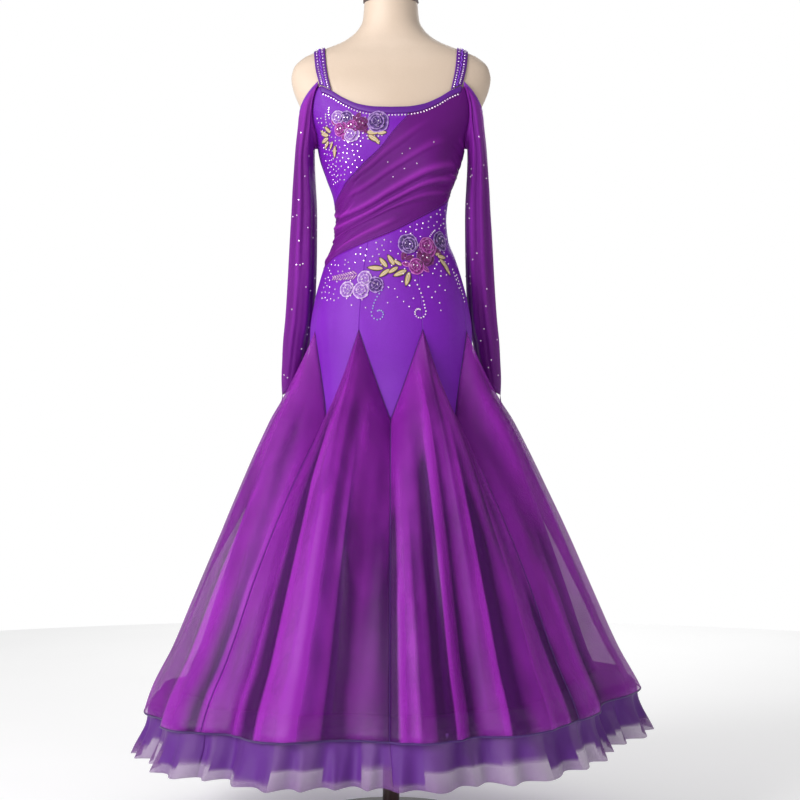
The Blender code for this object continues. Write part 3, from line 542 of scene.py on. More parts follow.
# Drape. A wide piece of plum stretch mesh laid across the front from the wearer's left bust to the right
# hip, gathered into both side seams so that soft uneven pleats run along it.
DRAPE_LIFT = 0.0010
Pleat = namedtuple("Pleat", "first last up_first up_middle up_last width depth")
PLEATS = [Pleat(*row) for row in (
    (-90, 75, 0.8, 0.39, 0.42, 0.022, -0.0024), (-88, 74, 0.86, 0.455, 0.48, 0.034, 0.002),
    (-90, 80, 0.5, 0.29, 0.24, 0.02, -0.0022), (-89, 80, 0.66, 0.34, 0.33, 0.028, 0.0021),
    (-52, 48, 0.82, 0.6, 0.6, 0.024, -0.0013), (-55, 50, 0.9, 0.66, 0.66, 0.034, 0.0011),
    (-42, 26, 0.93, 0.82, 0.79, 0.02, -0.0012), (-44, 30, 0.99, 0.89, 0.86, 0.03, 0.0008),
    (-90, 74, 0.4, 0.235, 0.03, 0.022, -0.002), (-90, 78, 0.44, 0.26, 0.13, 0.02, 0.0014),
    (-90, -6, 0.04, 0.19, 0.2, 0.024, -0.0018), (-90, 10, 0.13, 0.145, 0.1, 0.026, 0.0018),
    (-90, 30, 0.02, 0.06, 0.05, 0.02, -0.001), (-88, -18, 0.93, 0.86, 0.9, 0.022, -0.0011),
    (-90, -30, 0.72, 0.72, 0.76, 0.02, -0.0013), (-90, -36, 0.6, 0.64, 0.66, 0.02, 0.0012),
    (-90, -44, 0.27, 0.3, 0.33, 0.018, -0.0012), (-90, -52, 0.98, 0.95, 0.94, 0.018, 0.0008),
    (52, 90, 0.52, 0.5, 0.56, 0.022, -0.0012), (50, 90, 0.62, 0.64, 0.7, 0.03, -0.001),
    (58, 90, 0.14, 0.14, 0.2, 0.02, -0.0013), (60, 90, 0.74, 0.8, 0.88, 0.028, 0.0009),
    (56, 90, 0.36, 0.36, 0.41, 0.02, 0.0012), (66, 90, 0.05, 0.06, 0.09, 0.018, 0.0011),
)]


def pleats(angle, share):
    reach = 0.0
    for fold in PLEATS:
        t = (angle - fold.first) / (fold.last - fold.first)
        up = (fold.up_first * 2 * (t - 0.5) * (t - 1.0) + fold.up_middle * 4 * t * (1.0 - t)
              + fold.up_last * 2 * t * (t - 0.5))
        ends = np.clip(np.minimum(5.0 * t + (fold.first <= -88), 5.0 * (1.0 - t) + (fold.last >= 88)), 0.0, 1.0)
        reach = reach + fold.depth * bell(share - up, fold.width) * ends * ends * (3.0 - 2.0 * ends)
    return reach


# The plum mesh is finer than the lycra and dull, with a painted magenta highlight on its ridges.
fine_net, taken, given = new_group("fine_net", "Colour Shade Ridge", "Fold Pitch")
across, along = cut_place(fine_net)
holes = (across + along).waves(taken["Pitch"]) * (across - along).waves(taken["Pitch"])
dye = cloudy(fine_net, 7.0, 3.0)
base = blend_colour(fine_net, dye * 0.9 + holes * 0.10, taken["Shade"], taken["Colour"])
# Fold is a painted highlight: where it is above 0 the colour is painted toward the lighter ridge colour.
feed(fine_net, given, Colour=blend_colour(fine_net, taken["Fold"].at_least(0.0), base, taken["Ridge"]),
     Normal=raise_surface(fine_net, holes, 0.00008), Roughness=dye * 0.15 + 0.42)


def net_finish(name, colour, shade, ridge, pitch):
    return group_finish(name, fine_net, dict(Colour=colour, Shade=shade, Ridge=ridge, Fold="fold", Pitch=pitch),
                        Sheen_Weight=0.08, Sheen_Roughness=0.4, Sheen_Tint=(0.9, 0.2, 0.9),
                        Specular_IOR_Level=0.2)


plum = net_finish("plum_mesh", (0.190, 0.008, 0.270), (0.110, 0.004, 0.165), (0.32, 0.020, 0.42), 0.0016)
angle, share = panel_grid(-90.0 + 0.05, 90.0 - 0.05, 200, 120)
height = between(drape_low_at(turned(angle)), drape_high(angle), share)
sways = np.arange(-21.0, 22.0, 3.0)
soft_high = sum(drape_high(np.clip(angle + sway, -90.0, 90.0)) for sway in sways) / len(sways)
soft_low = sum(drape_low_at(np.clip(angle + sway, -90.0, 90.0)) for sway in sways) / len(sways)
reach = pleats(angle, (height - soft_low) / (soft_high - soft_low)) * np.clip(14.0 * (1.0 - share), 0.0, 1.0)
lift = DRAPE_LIFT * np.clip(8.0 * np.minimum(share, 1.0 - share), 0.0, 1.0)
points = body_points(angle, height, MESH_WALL + lift + reach * np.clip(12.0 * (1.0 - share), 0.2, 1.0))
# The drape's fold mark paints the pleats' ridges toward the ridge colour: a painted highlight.
drape = cloth("ruched_drape", points, LYCRA_SHELL, "plum_mesh", ["drape_sash"], plum, "gathered", ["torso"],
              stretch=0.92, fold=np.clip(reach / 0.0024, -1.0, 1.0))

# Neckline. A folded band of darker lycra, 13 mm deep, sewn round the scoop of the front and of the back.
BAND_SHELL = 0.0005
# How far up the band and how far out its outer face runs, from the lower edge over the fold
BAND_UP, BAND_OUT = np.array([(0.0, 0.0005), (0.05, 0.0014), (0.2, 0.0020), (0.45, 0.0022), (0.7, 0.0021),
                              (0.88, 0.0019), (0.97, 0.0015), (1.0, 0.0010), (0.985, 0.0004)]).T
binding = knit_finish("violet_binding", (0.170, 0.012, 0.400), (0.110, 0.007, 0.270), 0.0008, 0.00005,
                      Sheen_Weight=0.08, Sheen_Roughness=0.35, Sheen_Tint=(0.70, 0.20, 1.0))
for side, middle in (("front", 0.0), ("back", 180.0)):
    angle, up = crossed(np.linspace(middle - ARMHOLE_ANGLE + 0.05, middle + ARMHOLE_ANGLE - 0.05, 121), BAND_UP)
    gather = 0.00012 * np.sin(2.9 * angle) * np.sin(math.pi * up)
    points = body_points(angle, top_edge(angle) - BAND_HEIGHT * (1.0 - up), BAND_OUT + gather)
    cloth(side + "_neck_band", points, BAND_SHELL, "dark_violet_binding", ["neckline_band_" + side], binding,
          "folded", ["torso"])

# Straps. Each is a flat tape of the same lycra, 21 mm wide, over the shoulder from the front band to the
# back one, with a wavy violet piping sewn down its middle.
STRAP_WIDTH = 0.021
STRAP_WALL = 0.0020
STRAP_BASE_X = 0.1225
STRAP_TOP_X = 0.1360
STRAP_CENTRE_HEIGHT = 1.360
STRAP_GAP = 0.0006
STRAP_FOOT = 0.0009
STRAP_REACH = 0.25
HALVINGS = 30
PIPING_RADIUS = 0.0011
PIPING_WAVES = 22
PIPING_SWING = 0.055
CLEAR_OUT = 0.02
TAPE_SHELL = 0.0014
TAPE_RIPPLE = 0.00016
SIDES = {"left": np.array([1.0, 1.0, 1.0]), "right": np.array([-1.0, 1.0, 1.0])}


def form_reach(x, swing, gap):
    """Points over the form where rays at steady x, swung from front (0) to back (180), leave it."""
    back_way, up_way = -np.cos(np.radians(swing)), np.sin(np.radians(swing))
    near, far = np.zeros_like(x + swing), np.full_like(x + swing, STRAP_REACH)
    for _ in range(HALVINGS):
        middle = (near + far) / 2
        height = STRAP_CENTRE_HEIGHT + up_way * middle
        depth = back_way * middle
        half_depth = np.where(depth < 0, front_depth_at(height), back_depth_at(height))
        inside = (x / half_width_at(height)) ** 2 + (depth / half_depth) ** 2 < 1.0
        near, far = np.where(inside, middle, near), np.where(inside, far, middle)
    reach = near + gap
    return np.stack([x + 0.0 * reach, back_way * reach, STRAP_CENTRE_HEIGHT + up_way * reach], -1)


def strap_end_swing(x, behind):
    """The swing at which a strap's edge meets the neckline's band, found in a few steps."""
    angle = np.full_like(x, ARMHOLE_ANGLE)
    for _ in range(7):
        turn = 180.0 - angle if behind else angle
        foot = body_points(turn, top_edge(turn) + STRAP_FOOT, 0.0)
        sine = np.minimum(1.0, x / half_width_at(foot[..., 2]))
        angle = np.minimum(np.degrees(np.arcsin(sine)), ARMHOLE_ANGLE)
    return np.degrees(np.arctan2(foot[..., 2] - STRAP_CENTRE_HEIGHT, -foot[..., 1]))


def strap_points(across, share, out):
    """Points of the left strap: across from -0.5 to 0.5 of its width, share from front to back."""
    x = STRAP_BASE_X + (STRAP_TOP_X - STRAP_BASE_X) * np.sin(math.pi * share) + STRAP_WIDTH * across
    front, behind = strap_end_swing(x, False), strap_end_swing(x, True)
    return form_reach(x, front + (behind - front) * share, STRAP_GAP + out)


def strap_line(across, share, out):
    """Places along the left strap, and the way out from the form at each."""
    places = strap_points(across + 0.0 * share, share, out)
    return places, strap_points(across + 0.0 * share, share, STRAP_WALL + CLEAR_OUT) - places


def on_side(side, points):
    """A grid of the left side as it is, or turned over to the right side and still facing out."""
    return points if side == "left" else points[::-1] * SIDES[side]


def cord_points(line, radius, sides, outward):
    """A round tube's grid along a line of points, with one outward direction for each point."""
    ahead = np.gradient(line, axis=0)
    ahead /= np.linalg.norm(ahead, axis=1, keepdims=True)
    beside = np.cross(ahead, outward)
    beside /= np.linalg.norm(beside, axis=1, keepdims=True)
    lifted = np.cross(beside, ahead)
    turns = np.linspace(0.0, math.tau, sides, endpoint=False)[:, None, None]
    return line[None] + radius * (np.cos(turns) * beside[None] + np.sin(turns) * lifted[None])


def cord_piece(name, line, radius, sides, outward, slot, finish_used, stands_for=(), looped=False):
    """A thin sewn cord as a tube; a looped one closes on itself."""
    if looped:
        line = np.concatenate([line, line[:1]])
        outward = np.concatenate([outward, outward[:1]])
    mesh = grid_mesh(name, cord_points(line, radius, sides, outward)[::-1], ring=True)
    close_ends(mesh)
    return show(name, mesh, stands_for, [finish_used])


across, share = crossed(np.linspace(-0.5, 0.5, 13), np.linspace(-0.004, 1.004, 73))
crown = STRAP_WALL * (0.55 + 0.45 * np.clip(1.0 - (2 * np.abs(across)) ** 8, 0.0, 1.0))
tape = strap_points(across, share, crown + TAPE_RIPPLE * np.sin(41.0 * share + 5.0 * across))
piping = knit_finish("piping_violet", (0.36, 0.09, 0.86), (0.26, 0.05, 0.68), 0.0007, 0.00005)
run = np.linspace(0.004, 0.996, 260)
line, outward = strap_line(PIPING_SWING * np.sin(math.tau * PIPING_WAVES * run), run, STRAP_WALL + 0.0003)
for side, flip in SIDES.items():
    cloth("shoulder_tape_" + side, on_side(side, tape), TAPE_SHELL, "dark_violet_binding", ["strap_" + side],
          binding, "stretched", ["torso"])
    cord_piece("strap_piping_" + side, on_side(side, line), PIPING_RADIUS, 8, on_side(side, outward),
               "dark_violet_binding", piping)

# Sleeves. Reddish purple mesh tubes sewn to the armholes and left off the shoulder, hanging empty, each cut
# to a point at the cuff. A narrow gathered band of lighter mesh edges the free top.
Sleeve = namedtuple("Sleeve", "height centre_x centre_y half_width half_depth")
SLEEVE = [Sleeve(*row) for row in (
    (0.8, 0.1995, 0.128, 0.014, 0.022), (0.838, 0.1955, 0.112, 0.0185, 0.026),
    (0.876, 0.189, 0.095, 0.0225, 0.028), (0.914, 0.1835, 0.078, 0.025, 0.03),
    (0.952, 0.1768, 0.06, 0.0268, 0.031), (1.028, 0.1708, 0.036, 0.0262, 0.034),
    (1.104, 0.1673, 0.022, 0.0248, 0.037), (1.18, 0.165, 0.012, 0.0222, 0.04),
    (1.256, 0.1656, 0.006, 0.0172, 0.046), (1.294, 0.1625, 0.004, 0.0165, 0.05),
    (1.4, 0.16, 0.002, 0.0165, 0.058),
)]
SLEEVE_FREE_EDGE_HEIGHT = 1.338
SLEEVE_FREE_EDGE_GAP = 0.0045
SLEEVE_BAND_HEIGHT = 0.009
CUFF_HEIGHT = 0.820
CUFF_SLANT = 0.010
SLEEVE_FOLD = 0.0016
SLEEVE_FOLDS = 3
SLEEVE_FOLD_TURN = 1.1
SLEEVE_SETTLE = 0.22
SLEEVE_CLEAR = 0.0045
SLEEVE_CLEAR_SHARE = 0.6
SLEEVE_SEAM = 0.0007
SLEEVE_PUFF = 0.0055
FREE_EDGE_PUFF = 0.0020
ARMHOLE_POINTS = 12
FREE_POINTS = 6
RING = ARMHOLE_POINTS + FREE_POINTS
RING_START = ARMHOLE_ANGLE + 1.5
RING_FRONT = 100.0
RING_BACK = 260.0
UP = np.array([0.0, 0.0, 1.0])
LOOP_WIDTH = 0.006
LOOP_LENGTH = 0.026
centre_x_at = smooth_curve(SLEEVE, "centre_x")
centre_y_at = smooth_curve(SLEEVE, "centre_y")
tube_width_at = smooth_curve(SLEEVE, "half_width")
tube_depth_at = smooth_curve(SLEEVE, "half_depth")
FOLD_SHIFT = {"left": 7.0, "right": 0.0}
TubeFold = namedtuple("TubeFold", "turn width depth top bottom")
TUBE_FOLDS = [TubeFold(*row) for row in (
    (92, 9, -0.004, 0.02, 0.66), (71, 12, 0.0017, 0.05, 0.95), (117, 10, 0.0018, 0.04, 0.95),
    (141, 8, -0.002, 0.25, 1.05), (48, 9, -0.0016, 0.12, 0.8), (20, 13, 0.001, 0.15, 1.0),
    (-18, 11, -0.0014, 0.1, 0.9), (212, 11, -0.0016, 0.2, 1.0), (246, 12, 0.0014, 0.1, 0.9),
    (272, 9, -0.0024, 0.05, 0.7), (301, 12, 0.0013, 0.1, 1.0), (84, 7, -0.0022, 0.62, 1.05),
)]


def sleeve_ring(index):
    """Top line of the left sleeve: armhole from front to back, then the free edge back to the front."""
    free = np.clip((index - ARMHOLE_POINTS) / FREE_POINTS, 0.0, 1.0)
    swing = np.sin(math.pi * free)
    on_armhole = index <= ARMHOLE_POINTS
    armhole = ARMHOLE_ANGLE + (180.0 - 2 * ARMHOLE_ANGLE) * index / ARMHOLE_POINTS
    armhole = np.clip(armhole, RING_START, 180.0 - RING_START)
    angle = np.where(on_armhole, armhole, 180.0 - RING_START + (2 * RING_START - 180.0) * free)
    start = top_edge(RING_START) + SLEEVE_SEAM
    height = np.where(on_armhole, top_edge(angle) + SLEEVE_SEAM, between(start, SLEEVE_FREE_EDGE_HEIGHT, swing))
    near_end = np.clip(1.0 - np.minimum(index - ARMHOLE_POINTS, RING - index), 0.0, 1.0)
    puff = np.where(on_armhole, SLEEVE_PUFF, between(FREE_EDGE_PUFF, SLEEVE_PUFF, near_end))
    top = body_points(angle, height, SLEEVE_FREE_EDGE_GAP * np.where(on_armhole, 0.0, swing))
    outward = body_points(angle, top[..., 2], 1.0) - body_points(angle, top[..., 2], 0.0)
    return top, outward, puff


def ring_turn(index):
    front_half = between(RING_FRONT, RING_BACK, index / ARMHOLE_POINTS)
    return np.where(index <= ARMHOLE_POINTS, front_half,
                    between(RING_BACK, RING_FRONT + 360.0, (index - ARMHOLE_POINTS) / FREE_POINTS))


def clear_of_body(points, gap):
    x, y, z = points[..., 0], points[..., 1], points[..., 2]
    half_depth = np.where(y < 0, front_depth_at(z), back_depth_at(z))
    reach = np.hypot(x / half_width_at(z), y / half_depth)
    wanted = 1.0 + (gap + bust(np.degrees(np.arctan2(x, -y)), z)) * reach / np.hypot(x, y)
    scale = np.maximum(1.0, wanted / reach)
    return np.stack([x * scale, y * scale, z], -1)


def sleeve_points(index, share, out):
    """Points of the left sleeve at a share of the way from under its top seam (0) to the cuff (1)."""
    top, outward, puff = sleeve_ring(index)
    start = top + outward * puff[..., None]
    turn = np.radians(ring_turn(index))
    cuff = CUFF_HEIGHT - CUFF_SLANT * np.cos(turn)
    height = between(start[..., 2], cuff, share)
    wave = SLEEVE_FOLD * np.cos(SLEEVE_FOLDS * turn + SLEEVE_FOLD_TURN) * np.sin(math.pi * share)
    tube = np.stack([centre_x_at(height) + (tube_width_at(height) + wave + out) * np.cos(turn),
                     centre_y_at(height) - (tube_depth_at(height) + wave + out) * np.sin(turn), height], -1)
    settle = np.minimum(1.0, share / SLEEVE_SETTLE)
    settle = (settle * settle * (3.0 - 2.0 * settle))[..., None]
    slanted = outward + UP * np.clip(1.0 - share / 0.004, 0.0, 1.0)[..., None]
    slanted = slanted / np.linalg.norm(slanted, axis=-1, keepdims=True)
    placed_points = between(start + slanted * np.asarray(out)[..., None], tube, settle)
    cleared = clear_of_body(placed_points, SLEEVE_CLEAR + out)
    near_body = ((share > 0.0) & (share < SLEEVE_CLEAR_SHARE))[..., None]
    return np.where(near_body, cleared, placed_points)


def tube_folds(turn, share, shift):
    reach = 0.0
    for fold in TUBE_FOLDS:
        ends = np.clip(np.minimum((share - fold.top) / 0.10, (fold.bottom - share) / 0.16), 0.0, 1.0)
        reach = reach + fold.depth * bell(turned(turn - fold.turn - shift), fold.width) * ends
    return reach


def folded_sleeve(side, index, share, out):
    """Points of a sleeve with its folds, still on the left side."""
    return sleeve_points(index, share, MESH_WALL + tube_folds(ring_turn(index), share, FOLD_SHIFT[side]) + out)


SLEEVE_COLUMNS = 108
SLEEVE_HANG_ROWS = 84
LOOP_TWIST = 2.4
LOOP_TAPER = 0.45
LOOP_LEAN = 0.002
SLEEVE_SHELL = 0.0007
SLEEVE_GATHER = 0.0003
BAND_POINTS = np.linspace(RING, ARMHOLE_POINTS, 91)[:, None]
# The third colour of each mesh is its painted highlight, laid on ridges by the fold mark.
sleeve_net = net_finish("sleeve_mesh", (0.215, 0.010, 0.320), (0.110, 0.004, 0.160), (0.42, 0.032, 0.60),
                        0.0015)
band_net = net_finish("sleeve_band_mesh", (0.250, 0.030, 0.500), (0.180, 0.018, 0.370), (0.38, 0.08, 0.62),
                      0.0013)
index, fall = crossed(np.linspace(RING, 0.0, SLEEVE_COLUMNS, endpoint=False),
                      np.linspace(1.0, 0.0, SLEEVE_HANG_ROWS))
share = fall ** 1.15
wide, down = crossed(np.linspace(-0.5, 0.5, 5), np.linspace(1.0, 0.0, 22))
twist = LOOP_TWIST * down ** 1.5
strip = LOOP_WIDTH * wide * (1.0 - LOOP_TAPER * down)
foot = sleeve_points(np.array([[15.0]]), np.array([[1.0]]), np.array([[MESH_WALL]]))[0, 0]
finger_points = np.stack([foot[0] - 0.0006 + LOOP_LEAN * down - 0.5 * strip * np.sin(twist),
                          foot[1] + strip * np.cos(twist), foot[2] - SEAM - LOOP_LENGTH * down], -1)
top, outward, _ = sleeve_ring(BAND_POINTS)
up, out = BAND_UP[:, None], BAND_OUT[:, None]
gathers = SLEEVE_GATHER * np.sin(9.0 * BAND_POINTS[..., None] + 2.0 * up)
gathers = gathers * np.sin(math.pi * np.clip(up, 0.0, 1.0))
edge_points = top + outward * (out + gathers) + UP * (MESH_WALL + SEAM + SLEEVE_BAND_HEIGHT * up)
seam, _, _ = sleeve_ring(index[:, :1])
for side, shift in FOLD_SHIFT.items():
    name = "finger_strip_" + side
    finger_strip = show(name, grid_mesh(name, on_side(side, finger_points), fold=0.1),
                        ["finger_loop_" + side], [sleeve_net])
    give_wall(finger_strip, SLEEVE_SHELL)

    reach = tube_folds(ring_turn(index), share, shift)
    points = np.concatenate([sleeve_points(index, share, MESH_WALL + reach), seam + UP * MESH_WALL], axis=1)
    # Painted highlight: the sleeve's fold mark paints the ridges of its folds and its puffed top toward the
    # lighter ridge colour.
    fold = 0.6 * np.clip(reach / 0.004, -1.0, 1.0) + 0.75 * np.clip(1.0 - share / 0.20, 0.0, 1.0)
    fold = np.concatenate([fold, fold[:, -1:]], axis=1)
    cloth("hanging_sleeve_" + side, on_side(side, points), SLEEVE_SHELL, "plum_mesh", ["sleeve_" + side],
          sleeve_net, "hung", ["bust_panel", "back_panel"], ring=True, with_pieces=[finger_strip],
          fold=fold if side == "left" else fold[::-1])
    cloth("free_edge_band_" + side, on_side(side, edge_points), BAND_SHELL, "plum_mesh",
          ["sleeve_band_" + side], band_net, "gathered", ["hanging_sleeve_" + side], fold=0.2)

# Godets. Eight flared pieces of sheer magenta organza set between the tips of the zigzag. Their folds open
# toward the hem; they are wider there than the body is round, so ridges and troughs lie side by side.
ORGANZA_LIFT = 0.0005
ORGANZA_WALL = 0.0016
FLARE = 0.200
FLARE_LENGTH = 0.300
FOLD_RUN = 0.700
FOLD_GROWTH = 1.4
PEAK_FOLD = 0.010
PEAK_FOLD_WIDTH = 4.0
PEAK_FOLD_DROP = 0.085
HEM_HEIGHT = 0.226
HEM_RISE = 0.046
HEM_RISE_ANGLE = 84.0
FRONT_DIP = 0.010
PANEL_TOP_GAP = 0.00096
Fold = namedtuple("Fold", "angle width depth")
FOLDS = [Fold(*row) for row in (
    (-84, 8, -0.006), (-66, 7, -0.026), (-52, 7, 0.022), (-38, 5.5, -0.032), (-25, 7, 0.014), (-9, 6, -0.026),
    (7, 7, 0.02), (19, 5, -0.034), (31, 6, 0.008), (46, 7, 0.016), (60, 6, -0.026), (78, 8, 0.023),
    (93, 5, -0.004), (105, 7, 0.018), (121, 6.5, -0.028), (136, 7, 0.016), (150, 6, -0.022), (164, 7, 0.02),
    (178, 6, -0.028), (-168, 6, 0.016), (-155, 6, -0.022), (-141, 7, 0.018), (-126, 6, -0.026),
    (-112, 7, 0.016), (-98, 5, -0.006),
)]
# Finer folds: where each starts below the edge, how far it runs, and how it leans on its way down
Ridge = namedtuple("Ridge", "angle lean width depth start length")
RIDGES = [Ridge(*row) for row in (
    (-66, 30, 3.0, 0.003, 0.01, 0.3), (-56, 30, 2.6, -0.004, 0.02, 0.26), (-47, 4, 2.0, 0.0026, 0.02, 0.6),
    (-20, -44, 2.4, 0.0036, 0.03, 0.34), (-26, -30, 2.2, -0.003, 0.05, 0.4),
    (-15, -8, 2.4, -0.0036, 0.04, 0.42), (-11, -4, 2.2, 0.0028, 0.03, 0.45), (2, 10, 2.2, 0.0034, 0.05, 0.4),
    (-3, -8, 2.0, -0.0022, 0.06, 0.44), (10, 8, 2.6, -0.003, 0.03, 0.34), (17, -6, 2.2, 0.0032, 0.02, 0.42),
    (22.5, 0, 2.0, -0.004, 0.03, 0.26), (28, 14, 2.2, 0.0034, 0.02, 0.4), (37, 16, 2.6, -0.0034, 0.05, 0.38),
    (41, 12, 2.0, 0.003, 0.03, 0.32), (50, 20, 2.8, -0.0038, 0.03, 0.36), (58, 10, 2.6, 0.0028, 0.02, 0.34),
    (66, 8, 2.4, -0.0026, 0.03, 0.3), (74, 6, 2.6, 0.0026, 0.03, 0.44), (-34, -6, 1.7, 0.006, 0.24, 0.6),
    (-20.5, 0, 1.8, 0.0052, 0.24, 0.6), (2.2, 0, 1.6, 0.0056, 0.26, 0.6), (6.6, 0, 1.4, 0.0036, 0.34, 0.5),
    (12.2, -1, 1.8, -0.006, 0.28, 0.6), (15.2, 0, 1.4, 0.0048, 0.3, 0.6), (35.5, 0, 1.9, 0.006, 0.26, 0.6),
    (43, 3, 2.4, -0.0044, 0.3, 0.6), (52, 2, 2.0, 0.0044, 0.3, 0.6), (-14, 0, 2.2, -0.0044, 0.32, 0.6),
    (-46, -3, 2.2, -0.0044, 0.3, 0.6), (-57, -2, 1.9, 0.0046, 0.3, 0.6), (88, 2, 2.6, -0.0036, 0.1, 0.6),
    (99, 4, 2.2, 0.004, 0.2, 0.6), (112, -3, 2.4, -0.0036, 0.06, 0.55), (127, 5, 2.2, 0.0042, 0.14, 0.6),
    (143, 2, 2.6, -0.0036, 0.05, 0.45), (156, -4, 2.0, 0.0044, 0.22, 0.6), (170, 3, 2.4, -0.0038, 0.08, 0.6),
    (-176, -2, 2.0, 0.004, 0.16, 0.6), (-161, 4, 2.4, -0.0036, 0.06, 0.5), (-148, -3, 2.0, 0.0044, 0.2, 0.6),
    (-134, 3, 2.6, -0.0038, 0.07, 0.6), (-119, -4, 2.0, 0.0042, 0.18, 0.6), (-104, 2, 2.4, -0.0034, 0.06, 0.55),
    (-90, -2, 2.2, 0.004, 0.2, 0.6), (-76, 3, 2.4, -0.003, 0.05, 0.6),
)]


def hem_rise(angle):
    lift = np.maximum(0.0, np.cos(np.radians(angle - HEM_RISE_ANGLE)))
    front = np.maximum(0.0, np.cos(np.radians(angle)))
    return HEM_RISE * lift ** 3 + FRONT_DIP * front ** 6


def drop_below_edge(angle, height):
    return np.maximum(0.0, zigzag(angle) - height)


def broad_folds(angle, drop):
    reach = sum(fold.depth * bell(turned(angle - fold.angle), fold.width) for fold in FOLDS)
    from_peak = np.abs(angle % GODET_TURN - GODET_TURN / 2)
    tuck = drop / PEAK_FOLD_DROP * np.exp(1.0 - drop / PEAK_FOLD_DROP)
    return reach * (drop / FOLD_RUN) ** FOLD_GROWTH - PEAK_FOLD * tuck * bell(from_peak, PEAK_FOLD_WIDTH)


def fine_folds(angle, drop):
    reach = 0.0
    for fold in RIDGES:
        run = drop - fold.start
        ends = np.clip(np.minimum(run / 0.07, (fold.length - run) / 0.14), 0.0, 1.0)
        centre = fold.angle + fold.lean * np.maximum(run, 0.0)
        reach = reach + fold.depth * ends * bell(turned(angle - centre), fold.width)
    return reach


def flare(drop):
    return FLARE * (1.0 - np.exp(-drop / FLARE_LENGTH))


def organza_points(angle, height, out):
    drop = drop_below_edge(angle, height)
    return level_points(angle, height, flare(drop) + broad_folds(angle, drop), ORGANZA_LIFT + out)


# The crossed weave paints each sheer layer between a lit colour and a shaded one: its fold mark is painted light
# and shade, mixed with random lengthwise streaks of tone.
silk, taken, given = new_group("crossed_weave", "Bright Deep", "Fold Thread Cover",
                               "Colour Alpha Normal Roughness")
across, along = cut_place(silk)
threads = across.waves(taken["Thread"]).at_least(along.waves(taken["Thread"]))
streak = cloudy(silk, 26.0, 2.0, (1.0, 1.0, 0.03))
lit = taken["Fold"] * 0.72 + (streak * 0.7 + 0.10)
feed(silk, given, Colour=blend_colour(silk, lit.at_least(0.0).at_most(1.0), taken["Deep"], taken["Bright"]),
     Alpha=taken["Cover"] + threads * 0.05, Normal=raise_surface(silk, threads, 0.00005),
     Roughness=streak * 0.12 + 0.26)


def sheer_finish(name, bright, deep, thread, cover, **plain):
    values = dict(Bright=bright, Deep=deep, Fold="fold", Thread=thread, Cover=cover)
    return group_finish(name, silk, values, **plain)


# The organza's first colour is its painted lit tone, the second its painted shaded tone.
organza = sheer_finish("magenta_organza", (0.47, 0.030, 0.62), (0.080, 0.002, 0.125), 0.0011, 0.44,
                       Sheen_Weight=0.15, Sheen_Roughness=0.25, Sheen_Tint=(1.0, 0.35, 1.0),
                       Specular_IOR_Level=0.3)

# Painted shadows of folds that close up, dark on one side of a sharp edge, with a painted highlight strip
# on the other: the edge's angle, how far the shade reaches (negative: to the wearer's right), how dark it is,
# and from how far down
Shadow = namedtuple("Shadow", "angle reach depth start")
SHADE_EDGE = 0.40
LIT_EDGE = 0.30
LIT_EDGE_WIDTH = 0.9
SHADOW_RAMP = 0.20
DARKEST = -1.3
ORGANZA_SHELL = 0.0002
# How much of the organza's painted light and shade comes from the broad folds, the fine ridges, the open cloth
# and the painted shadows
BROAD_TONE = 0.4
FINE_TONE = 0.40
OPEN_TONE = 0.30
SHADOW_TONE = 1.7
FINE_DEPTH = 0.0035
SHADOWS = [Shadow(*row) for row in (
    (-59, -4.0, 0.4, 0.1), (-47, -3.5, 0.5, 0.16), (-29, -5.0, 0.85, 0.06), (-18.5, 2.0, 0.3, 0.02),
    (-14, 5.0, 0.65, 0.1), (1.5, -5.0, 0.95, 0.1), (0.5, 7.0, 0.35, 0.03), (6.5, 1.6, 0.5, 0.16),
    (13.5, -3.4, 1.45, 0.1), (18, 1.4, 0.45, 0.0), (26.5, 4.2, 1.1, 0.12), (35, -1.6, 0.45, 0.0),
    (43, 3.0, 0.65, 0.2), (57, 3.0, 0.35, 0.2), (101, 4.0, 0.7, 0.1), (117, -3.0, 0.5, 0.02),
    (130, -4.0, 0.9, 0.15), (147, 3.5, 0.8, 0.05), (163, -2.5, 0.5, 0.0), (172, 4.0, 1.1, 0.1),
    (-173, -3.0, 0.6, 0.18), (-157, 4.5, 0.9, 0.08), (-141, -2.5, 0.5, 0.02), (-132, 4.0, 0.9, 0.12),
    (-108, -4.0, 0.8, 0.1), (-93, 3.0, 0.5, 0.15),
)]


def shadowed(angle, drop):
    """The painted shade of the folded cloth at a place, less a painted lit strip beside each sharp edge: 0 where
    it is open.
    """
    dark = 0.0
    for fold in SHADOWS:
        past = turned(angle - fold.angle) * math.copysign(1.0, fold.reach)
        side = np.where(past < 0.0, bell(past, SHADE_EDGE), bell(past, abs(fold.reach)))
        side = side - LIT_EDGE * bell(past + 1.6 * LIT_EDGE_WIDTH, LIT_EDGE_WIDTH)
        dark = dark + fold.depth * side * np.clip((drop - fold.start) / SHADOW_RAMP, 0.0, 1.0)
    return np.minimum(1.3, dark)


def skirt_grid(number, columns, rows, hem):
    """Angles, heights and drops below the edge of one gore between two tips, hem to zigzag edge."""
    angle, share = panel_grid(GODET_TURN * number + 0.03, GODET_TURN * (number + 1) - 0.03, columns, rows)
    height = between(hem + hem_rise(angle), zigzag(angle) - PANEL_TOP_GAP, share ** 0.95)
    return angle, height, drop_below_edge(angle, height)


def skirt_cloth(name, node, points, shell, slot, used, fold):
    """One gore, hung from the zigzag edge; fold says how bright (up to 1) or dark its folds are painted."""
    cloth(name, points, shell, slot, [node], used, "hung", ["hip_panel", "back_panel"], level=True,
          fold=np.clip(fold, DARKEST, 1.0))


